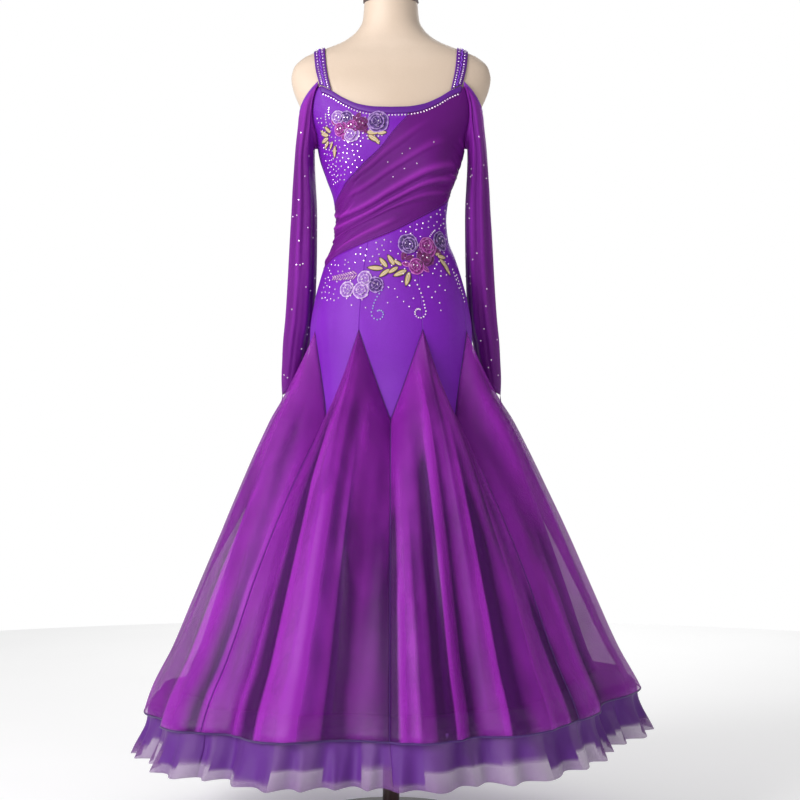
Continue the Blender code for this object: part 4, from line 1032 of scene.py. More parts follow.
# Each gore's fold mark is painted light and shade: lighter on the broad and fine ridges, darker in the troughs
# and in the painted shadows.
for number in range(GODETS):
    angle, height, drop = skirt_grid(number, 96, 72, HEM_HEIGHT)
    fine = fine_folds(angle, drop)
    deep = (broad_folds(angle, drop) + 0.004) / 0.022 * np.clip(drop / 0.10, 0.25, 1.0)
    skirt_cloth("organza_godet_%d" % (number + 1), "godet_%d" % (number + 1),
                organza_points(angle, height, ORGANZA_WALL + fine), ORGANZA_SHELL, "magenta_organza", organza,
                BROAD_TONE * deep + FINE_TONE * fine / FINE_DEPTH + OPEN_TONE
                - SHADOW_TONE * shadowed(angle, drop))

# Inner skirt. Eight gores of smooth opaque violet cloth under the organza, ending a little above its hem.
INNER_WALL = 0.0012
INNER_STEP = 0.010
INNER_STEP_DROP = 0.030
INNER_SLOPE = 0.042
INNER_SLOPE_GROWTH = 2.0
INNER_FOLD_SHARE = 0.6
INNER_HEM_HEIGHT = 0.250
INNER_SHELL = 0.0006
INNER_SHADOW_TONE = 1.6


def inner_points(angle, height, out):
    drop = drop_below_edge(angle, height)
    slope = INNER_SLOPE * drop * (1.0 + INNER_SLOPE_GROWTH * drop)
    inset = INNER_STEP * (1.0 - np.exp(-drop / INNER_STEP_DROP)) + slope
    widened = flare(drop) + INNER_FOLD_SHARE * broad_folds(angle, drop) - inset
    return level_points(angle, height, widened, ORGANZA_LIFT - SEAM - INNER_WALL + out)


# The inner violet is painted between a lit and a shaded colour too; its fold mark is painted shade from the broad
# folds and the painted shadows.
inner_cloth = sheer_finish("inner_violet", (0.215, 0.012, 0.430), (0.048, 0.002, 0.100), 0.0009, 1.0,
                           Specular_IOR_Level=0.25)
for number in range(GODETS):
    angle, height, drop = skirt_grid(number, 60, 48, INNER_HEM_HEIGHT)
    ripple = 0.5 * fine_folds(angle + 3.0, drop) * np.clip(drop / 0.2, 0.0, 1.0)
    skirt_cloth("inner_gore_%d" % (number + 1), "underskirt_%d" % (number + 1),
                inner_points(angle, height, INNER_WALL - np.abs(ripple)), INNER_SHELL, "inner_violet",
                inner_cloth, broad_folds(angle, drop) / 0.02 + 0.2 - INNER_SHADOW_TONE * shadowed(angle, drop))

# Frill. Eight lengths of stiff violet net gathered under the organza's hem and sewn inward to the inner hem.
# They stand out in broad soft flutes, dark and doubled at the top and sheer and paler at the lower edge.
FRILL_TOP_ABOVE_HEM = 0.016
FRILL_BOTTOM_HEIGHT = 0.148
FRILL_WAVES = 48
FRILL_REACH = 1.45
INNER_TURN = 0.006
FRILL_LENGTH = 8.0
EDGE_SPREAD = 12.9898
EDGE_STIR = 437.5
EDGE_LOW = 0.10
EDGE_RANGE = 0.26
EDGE_SOFT = 0.05
NET_PITCH = 0.0022
NET_SHELL = 0.0002
FLUTE_LEAN = 0.006
FLUTE_DIP = 0.0012
FrillRow = namedtuple("FrillRow", "share outset wave")
FRILL_ROWS = [FrillRow(0.0, 0.017, 0.0095), FrillRow(0.72, -0.0070, 0.0026), FrillRow(1.0, -0.0049, 0.0012)]
frill_outset_at = smooth_curve(FRILL_ROWS, "outset")
frill_wave_at = smooth_curve(FRILL_ROWS, "wave")


def flutes(angle):
    """Uneven waves round the frill: broad outside, narrow where they turn in."""
    around = np.radians(angle)
    uneven = 1.5 * np.sin(5 * around + 0.6) + 0.9 * np.sin(11 * around + 2.1) + 0.5 * np.sin(17 * around)
    phase = FRILL_WAVES * around + uneven
    return 1.0 - 2.0 * np.abs(np.cos(phase / 2)) ** 5.0, phase


def level_out(angle):
    """The level direction out of the body at an angle."""
    around = np.radians(angle)
    return np.stack([np.sin(around), -np.cos(around), 0.0 * around], -1)


# Painted light: the stiff net's colour is painted toward its pale colour where the net is sheer, for the light
# showing through, on the flutes' crests, and at random glints.
net_weave, taken, given = new_group("stiff_net", "Colour Pale", "Fold Reach", "Colour Alpha Roughness Normal")
across, along = cut_place(net_weave)
mesh_lines = across.waves(NET_PITCH) * along.waves(NET_PITCH)
painted_glint = cloudy(net_weave, 900.0, 0.0).calc("GREATER_THAN", 0.74)
pale = (taken["Reach"] * 0.55 + painted_glint * 0.30 + taken["Fold"] * 0.14).at_least(0.0).at_most(1.0)
cover = 0.84 - taken["Reach"] * 0.42 + (1.0 - taken["Fold"]) * 0.09 + mesh_lines * 0.10
feed(net_weave, given, Colour=blend_colour(net_weave, pale, taken["Colour"], taken["Pale"]),
     Alpha=cover.at_most(1.0), Roughness=0.45 - painted_glint * 0.25,
     Normal=raise_surface(net_weave, mesh_lines, 0.0001))
crinoline = group_finish("violet_crinoline", net_weave,
                         dict(Colour=(0.120, 0.026, 0.245), Pale=(0.30, 0.13, 0.36), Fold="fold", Reach="reach"),
                         Sheen_Weight=0.05, Sheen_Roughness=0.3, Sheen_Tint=(0.8, 0.5, 1.0),
                         Specular_IOR_Level=0.2)

for number in range(GODETS):
    angle, share = panel_grid(GODET_TURN * number, GODET_TURN * (number + 1), 150, 20)
    reach = share * FRILL_REACH
    share = np.minimum(reach, 1.0)
    opened = 1.0 - share
    hem = HEM_HEIGHT + hem_rise(angle)
    wave, phase = flutes(angle)
    height = between(FRILL_BOTTOM_HEIGHT + hem_rise(angle), hem + FRILL_TOP_ABOVE_HEM, share)
    swing = frill_outset_at(share) + frill_wave_at(share) * wave
    sideways = FLUTE_LEAN * np.sin(phase) * opened ** 1.3
    points = (organza_points(angle, np.maximum(height, hem), 0.0) + level_out(angle) * swing[..., None]
              + level_out(angle + 90.0) * sideways[..., None])
    points[..., 2] = height + FLUTE_DIP * np.cos(phase) * opened ** 2
    sewn_on = inner_points(angle, INNER_HEM_HEIGHT + hem_rise(angle) + INNER_TURN, 0.5 * INNER_WALL)
    points = between(points, sewn_on, np.clip((reach - 1.0) / (FRILL_REACH - 1.0), 0.0, 1.0)[..., None])
    # Each short length of the pale lower edge has its own depth, as the net's panels overlap unevenly
    length = np.floor((angle + 2.0 * np.sin(np.radians(7.0 * angle))) / FRILL_LENGTH)
    draw = np.modf(np.abs(np.sin(EDGE_SPREAD * length)) * EDGE_STIR)[0]
    edge = EDGE_LOW + EDGE_RANGE * draw + EDGE_SOFT
    # The fold mark paints the flutes' crests lighter, plus a random tone for each short length.
    cloth("net_frill_%d" % (number + 1), points, NET_SHELL, "violet_crinoline", ["frill_%d" % (number + 1)],
          crinoline, "gathered", ["organza_godet_%d" % (number + 1)], fold=0.6 * wave + 1.2 * (draw - 0.5),
          reach=np.clip((edge - share) / EDGE_SOFT, 0.0, 1.0))

# Hem cord and seam cords. A dark twisted cord edges the organza, and thin dark cords cover the zigzag seam and
# the seams between the godets.
CORD_RADIUS = 0.0017
CORD_SET = 0.0002
SEAM_CORD_RADIUS = 0.00065
dark_cord, tree, sockets = finish("dark_cord", Specular_IOR_Level=0.4, Sheen_Weight=0.2)
across, along = cut_place(tree)
ply = (along / 0.004 + across / 0.0055).waves(1.0)
# The cord's colour is painted lighter on the crowns of its plies and darker in the grooves between them: painted
# shade.
ply_shaded_cord = blend_colour(tree, ply * 0.5 + 0.5, (0.040, 0.006, 0.115), (0.085, 0.014, 0.220))
feed(tree, sockets, Base_Color=ply_shaded_cord, Roughness=ply * 0.08 + 0.42, Normal=raise_surface(tree, ply, 0.0003))


def dress_cord(name, line, radius, sides, angle, **more):
    cord_piece(name, line, radius, sides, level_out(angle), "dark_cord", dark_cord, **more)


angle = np.linspace(0.0, 360.0, 720, endpoint=False)
hem = HEM_HEIGHT + hem_rise(angle)
line = organza_points(angle, hem, 0.6 * ORGANZA_WALL + fine_folds(angle, drop_below_edge(angle, hem)))
dress_cord("edging_cord", line - UP * (SEAM + CORD_RADIUS), CORD_RADIUS, 8, angle, stands_for=["hem_cord"],
           looped=True)
angle = np.linspace(0.0, 360.0, 8 * 36, endpoint=False)
line = body_points(angle, zigzag(angle), LYCRA_WALL + CORD_SET)
dress_cord("zigzag_cord", line, SEAM_CORD_RADIUS, 6, angle, looped=True)
for number in range(GODETS):
    angle = np.full(70, GODET_TURN * number)
    height = np.linspace(HEM_HEIGHT + hem_rise(angle[0]), TIP_HEIGHT - 0.002, 70)
    fine = fine_folds(angle, drop_below_edge(angle, height))
    line = organza_points(angle, height, ORGANZA_WALL + CORD_SET + fine)
    dress_cord("seam_cord_%d" % (number + 1), line, SEAM_CORD_RADIUS, 6, angle)

# Sprays. Two embroidered applique clusters, one on the right bust and one across the hip: padded satin-stitch
# flowers in lilac, dark violet and magenta, gold leaves with dark edges, and a pink feathery sprig.
RAY_START = 0.06
APPLIQUE_LIFT = 0.0006
PETAL_PAD = 0.0006
PETAL_LEAN = 0.0013
RING_LIFT = 0.0009
RING_TURN = 24.0
LEAF_PAD = 0.0012
SPRIG_PAD = 0.0007
Bloom = namedtuple("Bloom", "angle height radius finish rings petals spin")
Leaf = namedtuple("Leaf", "angle height length width heading finish")
GOLDEN_TURN = 137.5


def leaves_of(**by_finish):
    return [Leaf(*row, finish) for finish, rows in by_finish.items() for row in rows]


SATIN = {
    "lilac": ((0.24, 0.07, 0.52), (0.52, 0.24, 0.76), (0.86, 0.66, 0.95)),
    "dusk": ((0.035, 0.008, 0.110), (0.150, 0.045, 0.340), (0.56, 0.34, 0.78)),
    "magenta": ((0.140, 0.004, 0.130), (0.460, 0.018, 0.400), (0.72, 0.20, 0.66)),
    "gold": ((0.95, 0.78, 0.50), (0.62, 0.40, 0.15), (0.030, 0.010, 0.035)),
    "plum": ((0.220, 0.008, 0.150), (0.085, 0.003, 0.085), (0.300, 0.040, 0.300)),
    "sprig": ((0.92, 0.62, 0.78), (0.78, 0.40, 0.66), (0.26, 0.08, 0.34)),
}
BUST_BLOOMS = [Bloom(*row) for row in (
    (-9.5, 1.3155, 0.0228, "dusk", 3, 6, 10), (-37, 1.3255, 0.0138, "lilac", 2, 5, 0),
    (-30.5, 1.323, 0.0145, "dusk", 2, 5, 25), (-39, 1.303, 0.0152, "magenta", 2, 5, 40),
    (-30.5, 1.293, 0.0172, "lilac", 2, 5, 15), (-29, 1.309, 0.0131, "magenta", 2, 5, 60),
    (-20.5, 1.312, 0.0152, "plum", 2, 5, 5),
)]
BUST_LEAVES = leaves_of(
    gold=(
        (-53, 1.294, 0.0232, 0.0109, -78), (-54, 1.289, 0.0244, 0.0109, -106),
        (-54, 1.283, 0.0195, 0.0101, -132), (-50, 1.298, 0.0195, 0.0094, -48), (-57, 1.297, 0.0159, 0.008, -60),
        (-49, 1.282, 0.0171, 0.0087, -158), (-46, 1.273, 0.0244, 0.0116, 176), (-18, 1.295, 0.0244, 0.0116, 92),
        (-17, 1.29, 0.0256, 0.0123, 122), (-16, 1.299, 0.0183, 0.0094, 70), (-10, 1.293, 0.0183, 0.0094, 84),
        (-12, 1.285, 0.0159, 0.0087, 146)),
    # Dark plum leaves tucked under the flowers; they also stand in for the shade under the flowers.
    plum=(
        (-24, 1.32, 0.0159, 0.0101, 30), (-23, 1.316, 0.0171, 0.0101, 100), (-25, 1.316, 0.0159, 0.0101, -30),
        (-20, 1.306, 0.0159, 0.0094, 150), (-24, 1.306, 0.0146, 0.0094, 205), (-35, 1.315, 0.0134, 0.0087, -70)),
    magenta=(
        (-42, 1.312, 0.0134, 0.0087, -40), (-36, 1.296, 0.0146, 0.0087, 190)))
HIP_BLOOMS = [Bloom(*row) for row in (
    (-34.5, 1.005, 0.0159, "lilac", 2, 5, 0), (-22.5, 1.003, 0.0166, "lilac", 2, 5, 30),
    (-20.5, 1.024, 0.0152, "lilac", 2, 5, 50), (-11, 1.013, 0.0159, "dusk", 2, 5, 12),
    (16.5, 1.088, 0.0207, "dusk", 3, 6, 20), (57, 1.098, 0.0207, "dusk", 3, 6, 0),
    (36, 1.086, 0.0207, "magenta", 3, 6, 35), (31, 1.064, 0.02, "plum", 2, 5, 8),
    (21, 1.048, 0.0166, "magenta", 2, 5, 22),
)]
HIP_LEAVES = leaves_of(
    gold=(
        (-6, 1.043, 0.0317, 0.0116, -86), (-3, 1.045, 0.0244, 0.0116, -38), (3, 1.049, 0.0244, 0.0116, -32),
        (-1, 1.042, 0.0256, 0.0109, -128), (6, 1.046, 0.0232, 0.0109, -122), (9, 1.049, 0.0183, 0.0094, -58),
        (13, 1.04, 0.0293, 0.0123, -114), (15, 1.037, 0.0293, 0.013, -164), (45, 1.068, 0.022, 0.0109, 96),
        (47, 1.064, 0.0317, 0.0116, 138), (50, 1.06, 0.0329, 0.0109, 152), (43, 1.07, 0.0159, 0.0087, 66)),
    # Dark plum leaves tucked under the flowers; they also stand in for the shade under the flowers.
    plum=(
        (24, 1.078, 0.0195, 0.0116, -20), (25, 1.072, 0.0195, 0.0116, 60), (13, 1.076, 0.0195, 0.0116, 200),
        (20, 1.066, 0.0183, 0.0109, 250), (47, 1.088, 0.0195, 0.0116, 20), (44, 1.08, 0.0195, 0.0116, 120)),
    magenta=(
        (16, 1.05, 0.0159, 0.0101, 280), (27, 1.048, 0.0171, 0.0101, 130)))
Sprig = namedtuple("Sprig", "angle height heading step leaflets")
PINK_SPRIG = Sprig(-27, 1.0330, -98, 0.0056, 10)


def surface_of(*pieces):
    """The outer faces of finished panels, for laying smaller things on them."""
    corners, faces = [], []
    for piece in pieces:
        start = len(corners)
        corners += [vertex.co.copy() for vertex in piece.data.vertices]
        faces += [[start + corner for corner in face.vertices] for face in piece.data.polygons]
    return BVHTree.FromPolygons(corners, faces)


front_cloth = surface_of(bodice, drape, yoke)


def lay_on(angle, height, spin, local):
    """Local points (across, up, out) laid on the cloth round a place; also gives the outward direction."""
    base = body_points(angle, height, 0.0)
    out = body_points(angle, height, 1.0) - base
    out[2] = 0.0
    out = out / np.linalg.norm(out)
    right = np.cross(UP, out)
    turn = math.radians(spin)
    across = local[..., 0] * math.cos(turn) + local[..., 1] * math.sin(turn)
    rise = -local[..., 0] * math.sin(turn) + local[..., 1] * math.cos(turn)
    flat = (base + across[..., None] * right + rise[..., None] * UP).reshape(-1, 3)
    laid = []
    for point, lift in zip(flat, local[..., 2].ravel()):
        met = front_cloth.ray_cast(Vector(point + out * RAY_START), Vector(-out))[0]
        laid.append(point + out * lift if met is None else np.array(met) + out * (lift + APPLIQUE_LIFT))
    return np.array(laid).reshape(local.shape), out


def petal(length, width, rise, lean, bulge, lift=0.0):
    """A petal or leaf from its base along +up: padded along the middle, with its own edge measure."""
    side, run = crossed(np.linspace(-1.0, 1.0, 7), np.linspace(0.0, 1.0, 9))
    half = 0.5 * width * np.sin(math.pi * np.clip(run, 0.02, 0.99) ** bulge) ** 0.75
    pad = rise * (1.0 - 0.75 * side ** 2) * np.sin(math.pi * np.clip(run, 0.03, 0.97)) ** 0.6
    local = np.stack([side * half, run * length, 0.0002 + pad + lean * run ** 2 + lift], -1)
    edge = np.maximum(np.abs(side) ** 1.6, np.clip((run - 0.72) / 0.28, 0.0, 1.0) ** 1.5)
    return local, np.maximum(edge, np.clip((0.10 - run) / 0.10, 0.0, 1.0) * 0.7)


class Cluster:
    """The petals and leaves of one spray, gathered into one mesh."""

    def __init__(self):
        self.points, self.faces, self.finishes, self.edges, self.cuts = [], [], [], [], []

    def add(self, angle, height, heading, shape, kind):
        """Lays one petal or leaf on the cloth at a place, turned to its heading."""
        local, edge = shape
        start, rows = len(self.points), local.shape[1]
        self.points += lay_on(angle, height, heading, local)[0].reshape(-1, 3).tolist()
        self.edges += edge.ravel().tolist()
        cut = np.stack([local[..., 0], local[..., 1] + 0.8 * np.abs(local[..., 0])], -1).reshape(-1, 2)
        for corner in (c * rows + r for c in range(len(local) - 1) for r in range(rows - 1)):
            ring = (corner, corner + rows, corner + rows + 1, corner + 1)
            self.faces.append([start + k for k in ring])
            self.finishes.append(list(SATIN).index(kind))
            self.cuts += [cut[k] for k in ring]

    def mesh(self, name):
        mesh = bpy.data.meshes.new(name)
        mesh.from_pydata(self.points, [], self.faces)
        mesh.polygons.foreach_set("material_index", self.finishes)
        mesh.uv_layers.new(name="cut").data.foreach_set("uv", np.array(self.cuts, np.float32).ravel())
        mesh.attributes.new("edge", "FLOAT", "POINT").data.foreach_set("value", np.array(self.edges, np.float32))
        mesh.shade_smooth()
        return mesh


def lay_leaf(cluster, leaf, pad=LEAF_PAD):
    shape = petal(leaf.length, leaf.width, pad, 0.0, 0.82)
    cluster.add(leaf.angle, leaf.height, leaf.heading, shape, leaf.finish)


def lay_bloom(cluster, bloom):
    """Rings of petals, each ring smaller, higher and turned from the one below."""
    for ring in range(bloom.rings):
        share = 1.0 - ring / (bloom.rings + 0.35)
        count = bloom.petals - ring
        for k in range(count):
            length = bloom.radius * share * (0.92 + 0.10 * math.sin(5.1 * k + ring + bloom.spin))
            width = 1.25 * math.tau * length / count
            shape = petal(length, width, PETAL_PAD, PETAL_LEAN * (ring + 1), 1.25, RING_LIFT * ring)
            heading = bloom.spin + 360.0 * k / count + RING_TURN * ring
            cluster.add(bloom.angle, bloom.height, heading, shape, bloom.finish)


satin, taken, given = new_group("satin_stitch", "Middle Body Rim", "Edge")
rows = cut_place(satin)[1].waves(0.0010)
heart = blend_colour(satin, (taken["Edge"] * 2.2).at_most(1.0), taken["Middle"], taken["Body"])
vein = 0.85 - taken["Edge"] * 14.0
to_rim = (taken["Edge"] * 3.6 - 1.5).at_least(0.0).at_least(vein).at_most(1.0)
worked = blend_colour(satin, to_rim, heart, taken["Rim"])
feed(satin, given, Colour=blend_colour(satin, rows * 0.07 + 0.07, worked, (0.01, 0.0, 0.015)),
     Normal=raise_surface(satin, rows, 0.00012), Roughness=rows * 0.06 + 0.38)
satin_finishes = [group_finish("satin_" + label, satin, dict(Middle=middle, Body=body, Rim=rim, Edge="edge"),
                               Sheen_Weight=0.15, Specular_IOR_Level=0.45)
                  for label, (middle, body, rim) in SATIN.items()]

clusters = {"bust": Cluster(), "hip": Cluster()}
for where, leaves, blooms in (("bust", BUST_LEAVES, BUST_BLOOMS), ("hip", HIP_LEAVES, HIP_BLOOMS)):
    for leaf in leaves:
        lay_leaf(clusters[where], leaf)
    for bloom in blooms:
        lay_bloom(clusters[where], bloom)
for k in range(PINK_SPRIG.leaflets):
    stem = np.array([[[0.0, PINK_SPRIG.step * (k + 0.5), 0.0]]])
    spot, _ = lay_on(PINK_SPRIG.angle, PINK_SPRIG.height + 0.00003 * k * k, PINK_SPRIG.heading, stem)
    x, y, z = spot[0, 0]
    angle = math.degrees(math.atan2(x / float(half_width_at(z)), -y / float(front_depth_at(z))))
    for turn in (-42.0, 42.0):
        leaflet = Leaf(angle, z, 0.0140 - 0.0008 * k, 0.0027, PINK_SPRIG.heading + turn, "sprig")
        lay_leaf(clusters["hip"], leaflet, SPRIG_PAD)
for where, cluster in clusters.items():
    name = where + "_flowers"
    show(name, cluster.mesh(name), ["applique_" + where], satin_finishes)

# Stones. Small foil-backed crystal stones, glued on one by one: a row under the neckline, two rows on each
# strap, a scatter over the right bust, the hips and the sleeves, and two curled scrolls on the hip.
STONE_SIZE = 0.0035
TRAIL_STONE = 0.0034
BUST_STONE = 0.0033
HIP_STONE = 0.0034
DRAPE_STONE = 0.0026
FLOWER_STONE = 0.0030
SLEEVE_STONE = 0.0032
ROW_PITCH = 0.0060
ROW_DROP = 0.003
CURL_START = 0.36
Trail = namedtuple("Trail", "first_angle first_height last_angle last_height stones")
FLOWER_TRAILS = [Trail(*row) for row in (
    (24, 1.084, 38, 1.097, 8), (38, 1.097, 50, 1.117, 7), (31, 1.074, 45, 1.079, 7), (28, 1.06, 40, 1.062, 5),
    (68, 1.035, 71, 0.985, 9), (63, 1.045, 66, 1.01, 6), (-42, 1.345, -45, 1.325, 5),
    (-47, 1.333, -52, 1.305, 6),
)]
Scroll = namedtuple("Scroll", "angle height radius hand rise stones size finish")
SCROLLS = [Scroll(20.5, 0.962, 0.0140, 1.0, 0.050, 20, STONE_SIZE, 0),
           Scroll(-8.5, 0.959, 0.0145, -1.0, 0.034, 18, TRAIL_STONE, 1)]
Patch = namedtuple("Patch", "first last low high stones gap")
BUST_PATCHES = [Patch(*row) for row in (
    (-60, -6, 1.278, 1.328, 74, 0.0062), (-64, -22, 1.205, 1.282, 66, 0.0078),
)]
HIP_PATCHES = [Patch(*row) for row in (
    (-66, -30, 0.985, 1.062, 46, 0.0082), (-34, 14, 1.048, 1.1, 26, 0.0098), (8, 62, 1.03, 1.13, 44, 0.009),
    (-30, 46, 0.965, 1.02, 20, 0.012), (40, 74, 1.09, 1.16, 12, 0.009),
)]
DRAPE_PATCH = Patch(-12, 46, 1.200, 1.300, 7, 0.0150)
SLEEVE_STONES = 34
STRAP_STONES = 38
chance = random.Random(11)


def cut_stone():
    """A brilliant's crown on a flat back, 1 across: points and faces."""
    points, faces = [], []
    for radius, height, turn in ((0.50, 0.0, 0.0), (0.50, 0.10, 0.0), (0.40, 0.26, 0.5), (0.24, 0.36, 0.0)):
        points += [(radius * math.cos(math.tau * (k + turn) / 8), radius * math.sin(math.tau * (k + turn) / 8),
                    height) for k in range(8)]
    for k in range(8):
        n = (k + 1) % 8
        faces += [(k, n, 8 + n, 8 + k), (8 + k, 8 + n, 16 + k), (8 + n, 16 + n, 16 + k), (16 + k, 24 + n, 24 + k),
                  (16 + k, 16 + n, 24 + n)]
    return np.array(points), faces + [tuple(range(24, 32)), tuple(reversed(range(8)))]


def many_of(name, template, places, finishes):
    """One joined mesh of copies; a place is (point, outward, ahead, size, finish number)."""
    shape, faces = template
    corners, rings, used, tints = [], [], [], []
    for number, (point, outward, ahead, size, kind) in enumerate(places):
        outward = np.asarray(outward) / np.linalg.norm(outward)
        beside = np.cross(ahead, outward)
        beside = beside / np.linalg.norm(beside)
        corners.append(point + size * (shape @ np.stack([beside, np.cross(outward, beside), outward])))
        rings += [[number * len(shape) + k for k in ring] for ring in faces]
        used += [kind] * len(faces)
        tints += [chance.random()] * len(shape)
    mesh = bpy.data.meshes.new(name)
    mesh.from_pydata(np.concatenate(corners).tolist(), [], rings)
    mesh.polygons.foreach_set("material_index", used)
    mesh.attributes.new("tint", "FLOAT", "POINT").data.foreach_set("value", tints)
    return show(name, mesh, (), finishes)


def measured(line):
    """The way run along a line of points, at each point."""
    return np.concatenate([[0.0], np.cumsum(np.linalg.norm(np.diff(line, axis=0), axis=1))])


def stone_finish(name, clear, tinted):
    # Painted sparkle: each stone glows faintly in its own colour, though the stones are no lamps.
    made, tree, sockets = finish(name, Metallic=0.55, Coat_Weight=1.0, Coat_Roughness=0.03,
                                 Emission_Strength=0.10)
    colour = blend_colour(tree, "tint", clear, tinted)
    feed(tree, sockets, Base_Color=colour, Emission_Color=colour,
         Roughness=cloudy(tree, 300.0, 0.0) * 0.12 + 0.06)
    return made


stone_finishes = [stone_finish("clear_crystal", (0.97, 0.86, 0.93), (0.80, 0.52, 0.86)),
                  stone_finish("teal_crystal", (0.34, 0.42, 0.80), (0.55, 0.52, 0.88))]


def stone_at(angle, height, size, kind=0, offset=(0.0, 0.0)):
    laid, out = lay_on(angle, height, 0.0, np.array([[[*offset, 0.0]]]))
    return laid[0, 0], out, UP, size, kind


turns = np.linspace(1.5 - ARMHOLE_ANGLE, ARMHOLE_ANGLE - 1.5, 400)
run = measured(body_points(turns, below_band(turns) - ROW_DROP, 0.0))
row_angles = [float(np.interp(place, run, turns)) for place in np.arange(0.0, run[-1], ROW_PITCH)]
body_stones = [stone_at(angle, float(below_band(angle)) - ROW_DROP, STONE_SIZE) for angle in row_angles]
for trail in FLOWER_TRAILS:
    for t in np.arange(trail.stones) / (trail.stones - 1):
        height = between(trail.first_height, trail.last_height, t) + 0.002 * math.sin(3.0 * t)
        body_stones.append(stone_at(between(trail.first_angle, trail.last_angle, t), height, TRAIL_STONE))
for scroll in SCROLLS:
    for t in np.arange(scroll.stones) / (scroll.stones - 1):
        curl = max(0.0, (t - CURL_START) / (1.0 - CURL_START))
        radius = scroll.radius * (1.0 - 0.62 * curl)
        turn = math.radians(40.0 - 330.0 * curl)
        straight = max(0.0, 1.0 - t / CURL_START) ** 1.1
        across = scroll.hand * (radius * math.cos(turn) - 0.016 * straight ** 1.6)
        body_stones.append(stone_at(scroll.angle, scroll.height, scroll.size, scroll.finish,
                                    (across, radius * math.sin(turn) + scroll.rise * straight)))
for bloom in BUST_BLOOMS + HIP_BLOOMS:
    for k in range(4 if bloom.rings > 2 else 2):
        turn = math.radians(bloom.spin + GOLDEN_TURN * k)
        away = bloom.radius * (0.15 + 0.16 * k)
        spot, out, *rest = stone_at(bloom.angle, bloom.height, FLOWER_STONE, 0,
                                    (away * math.cos(turn), away * math.sin(turn)))
        body_stones.append((spot + out * (0.0030 if k < 2 else 0.0020), out, *rest))


def sprinkle(patch, size, allowed):
    """Stones scattered over a patch, none nearer to another than the gap."""
    wanted = len(body_stones) + patch.stones
    for _ in range(40 * patch.stones):
        if len(body_stones) == wanted:
            break
        angle, height = chance.uniform(patch.first, patch.last), chance.uniform(patch.low, patch.high)
        if allowed(angle, height):
            stone = stone_at(angle, height, size * chance.uniform(0.85, 1.05))
            if min(np.linalg.norm(other[0] - stone[0]) for other in body_stones) >= patch.gap:
                body_stones.append(stone)


for patch in BUST_PATCHES:
    sprinkle(patch, BUST_STONE, lambda a, h: drape_high(a) + 0.004 < h < below_band(a) - 0.007)
for patch in HIP_PATCHES:
    sprinkle(patch, HIP_STONE, lambda a, h: h < drape_low_at(a) - 0.004)
sprinkle(DRAPE_PATCH, DRAPE_STONE, lambda a, h: h < drape_high(a) - 0.006)
many_of("crystal_stones", cut_stone(), body_stones, stone_finishes)

for side, flip in SIDES.items():
    strap_stones = []
    for row, shift in ((-0.25, 0.0), (0.25, 0.5)):
        share = (np.arange(STRAP_STONES) + 0.5 + shift) / (STRAP_STONES + 1.0)
        for spot, out in zip(*strap_line(row, share, STRAP_WALL + 0.0001)):
            strap_stones.append((spot * flip, out * flip, np.array([1.0, 0.0, 0.0]), STONE_SIZE, 0))
    many_of("strap_stones_" + side, cut_stone(), strap_stones, stone_finishes)
    sleeve_stones = []
    for _ in range(SLEEVE_STONES):
        share = np.array([[0.985 * chance.uniform(0.08, 1.0) ** 0.75]])
        index = np.array([[chance.choice([chance.uniform(-2.4, 3.0), chance.uniform(3.0, 15.0)]) % RING]])
        spot = folded_sleeve(side, index, share, 0.0)[0, 0]
        out = folded_sleeve(side, index, share, 0.01)[0, 0] - spot
        sleeve_stones.append((spot * flip, out * flip, UP, SLEEVE_STONE, 0))
    many_of("sleeve_stones_" + side, cut_stone(), sleeve_stones, stone_finishes)

# Stitching. Rows of small lockstitches in violet thread hold the neck bands, the drape's edges, the strap
# edges and the cuff hems; each stitch is a short rounded bar.
STITCH_PITCH = 0.0027
STITCH_LENGTH = 0.0021
thread, tree, sockets = finish("violet_thread", Specular_IOR_Level=0.4)
lay = cloudy(tree, 700.0, 1.0)
feed(tree, sockets, Base_Color=blend_colour(tree, lay, (0.13, 0.015, 0.30), (0.28, 0.05, 0.52)),
     Roughness=lay * 0.2 + 0.4)


def stitch_bar():
    """One stitch, 1 long, with rounded ends that dip into the cloth."""
    points, faces = [], []
    for place, radius, dip in ((-0.5, 0.05, -0.06), (-0.32, 0.12, 0.03), (0.0, 0.14, 0.08), (0.32, 0.12, 0.03),
                               (0.5, 0.05, -0.06)):
        points += [(radius * math.cos(math.tau * k / 6), place, dip + radius * math.sin(math.tau * k / 6))
                   for k in range(6)]
    for ring in range(4):
        for k in range(6):
            n = (k + 1) % 6
            faces.append((6 * ring + k, 6 * ring + n, 6 * ring + 6 + n, 6 * ring + 6 + k))
    return np.array(points), faces + [tuple(reversed(range(6))), tuple(range(24, 30))]


def stitches_along(line, outward):
    """Stitches at a steady pitch along a line of points."""
    run = measured(line)

    def at(place, values):
        return np.array([np.interp(place, run, column) for column in values.T])

    return [(at(place, line), at(place, outward), at(place + 0.0005, line) - at(place - 0.0005, line),
             STITCH_LENGTH, 0) for place in np.arange(STITCH_PITCH / 2, run[-1], STITCH_PITCH)]


def body_stitches(first, last, count, height_at, out):
    angle = np.linspace(first, last, count)
    return stitches_along(body_points(angle, height_at(angle), out), level_out(angle))


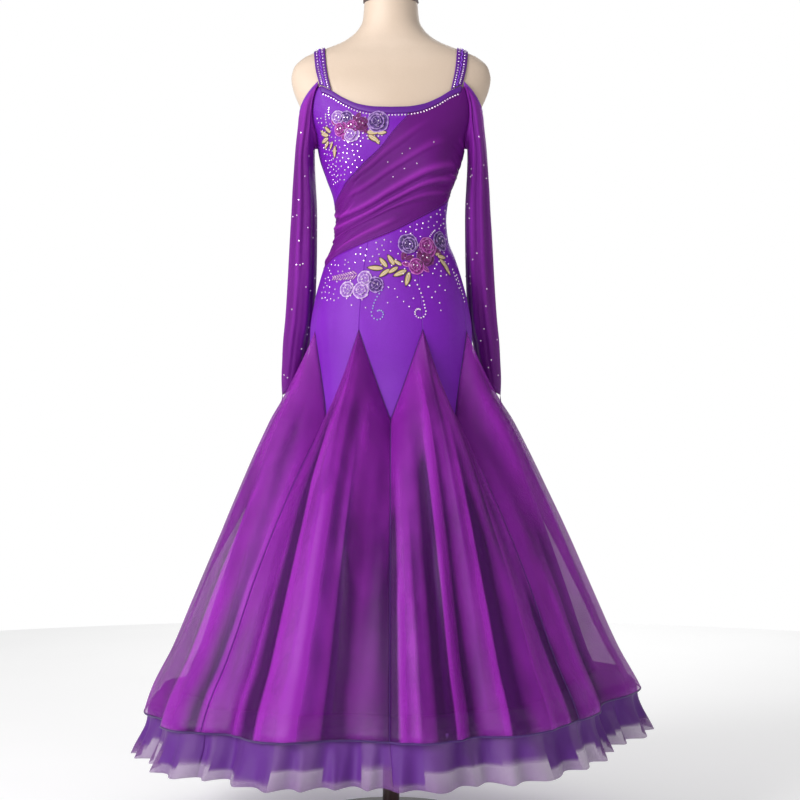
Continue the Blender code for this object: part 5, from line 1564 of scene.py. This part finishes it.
sewing = []
for middle in (0.0, 180.0):
    sewing += body_stitches(middle - ARMHOLE_ANGLE + 0.5, middle + ARMHOLE_ANGLE - 0.5, 160,
                            lambda a: top_edge(a) - 0.88 * BAND_HEIGHT, 0.0018)
sewing += body_stitches(-89.0, 89.0, 200, lambda a: drape_low_at(a) + 0.003, MESH_WALL + 0.0006)
sewing += body_stitches(-89.0, 11.0, 160, lambda a: drape_high(a) - 0.003, MESH_WALL + 0.0006)
for side, flip in SIDES.items():
    for row in (-0.45, 0.45):
        spots, out = strap_line(row, np.linspace(0.01, 0.99, 120), 0.75 * STRAP_WALL)
        sewing += stitches_along(spots * flip, out * flip)
    index, share = np.linspace(RING, 0.0, 140)[:, None], np.full((140, 1), 0.985)
    spots = folded_sleeve(side, index, share, 0.0)[:, 0]
    sewing += stitches_along(spots * flip, (folded_sleeve(side, index, share, 0.01)[:, 0] - spots) * flip)
many_of("lockstitches", stitch_bar(), sewing, [thread])

# Studio. A pale floor under the stand, a plain white surround and two soft lights, the stronger on the left.
FLOOR_RADIUS = 3.2
FLOOR_SIDES = 96
DRESS_MIDDLE = Vector((0.0, 0.0, 0.8))
floor_mesh = bpy.data.meshes.new("floor")
turns = [math.tau * k / FLOOR_SIDES for k in range(FLOOR_SIDES)]
floor_mesh.from_pydata([(FLOOR_RADIUS * math.cos(t), FLOOR_RADIUS * math.sin(t), -0.0004) for t in turns], [],
                       [tuple(range(FLOOR_SIDES))])
floor = bpy.data.objects.new("floor", floor_mesh)
floor_finish, tree, sockets = finish("pale_floor", Specular_IOR_Level=0.2, Emission_Color=(1.0, 1.0, 1.0),
                                     Emission_Strength=0.22)
mottle = cloudy(tree, 3.0, 2.0)
feed(tree, sockets, Base_Color=blend_colour(tree, mottle, (0.93, 0.93, 0.93), (0.96, 0.96, 0.96)),
     Roughness=mottle * 0.1 + 0.6)
floor_mesh.materials.append(floor_finish)
bpy.context.scene.collection.objects.link(floor)

surround = bpy.data.worlds.new("surround")
surround.use_nodes = True
tree = surround.node_tree
to_camera = Reading(tree.nodes.new("ShaderNodeLightPath").outputs["Is Camera Ray"])
feed(tree, tree.nodes["Background"].inputs, Strength=to_camera * 0.63 + 0.37, Color=(1.0, 1.0, 1.0))
bpy.context.scene.world = surround
bpy.context.scene.view_settings.view_transform = "Standard"

Lamp = namedtuple("Lamp", "name place size watts")
LAMPS = [Lamp("key", (-2.9, -2.9, 2.3), 2.0, 150.0), Lamp("fill", (2.2, -3.4, 1.6), 2.4, 7.0),
         Lamp("behind", (0.6, 3.4, 2.6), 2.4, 45.0)]
for lamp in LAMPS:
    light = bpy.data.lights.new(lamp.name, "AREA")
    light.shape = "SQUARE"
    light.size = lamp.size
    light.energy = lamp.watts
    stood = bpy.data.objects.new(lamp.name, light)
    stood.location = lamp.place
    stood.rotation_euler = (DRESS_MIDDLE - stood.location).to_track_quat("-Z", "Y").to_euler()
    bpy.context.scene.collection.objects.link(stood)
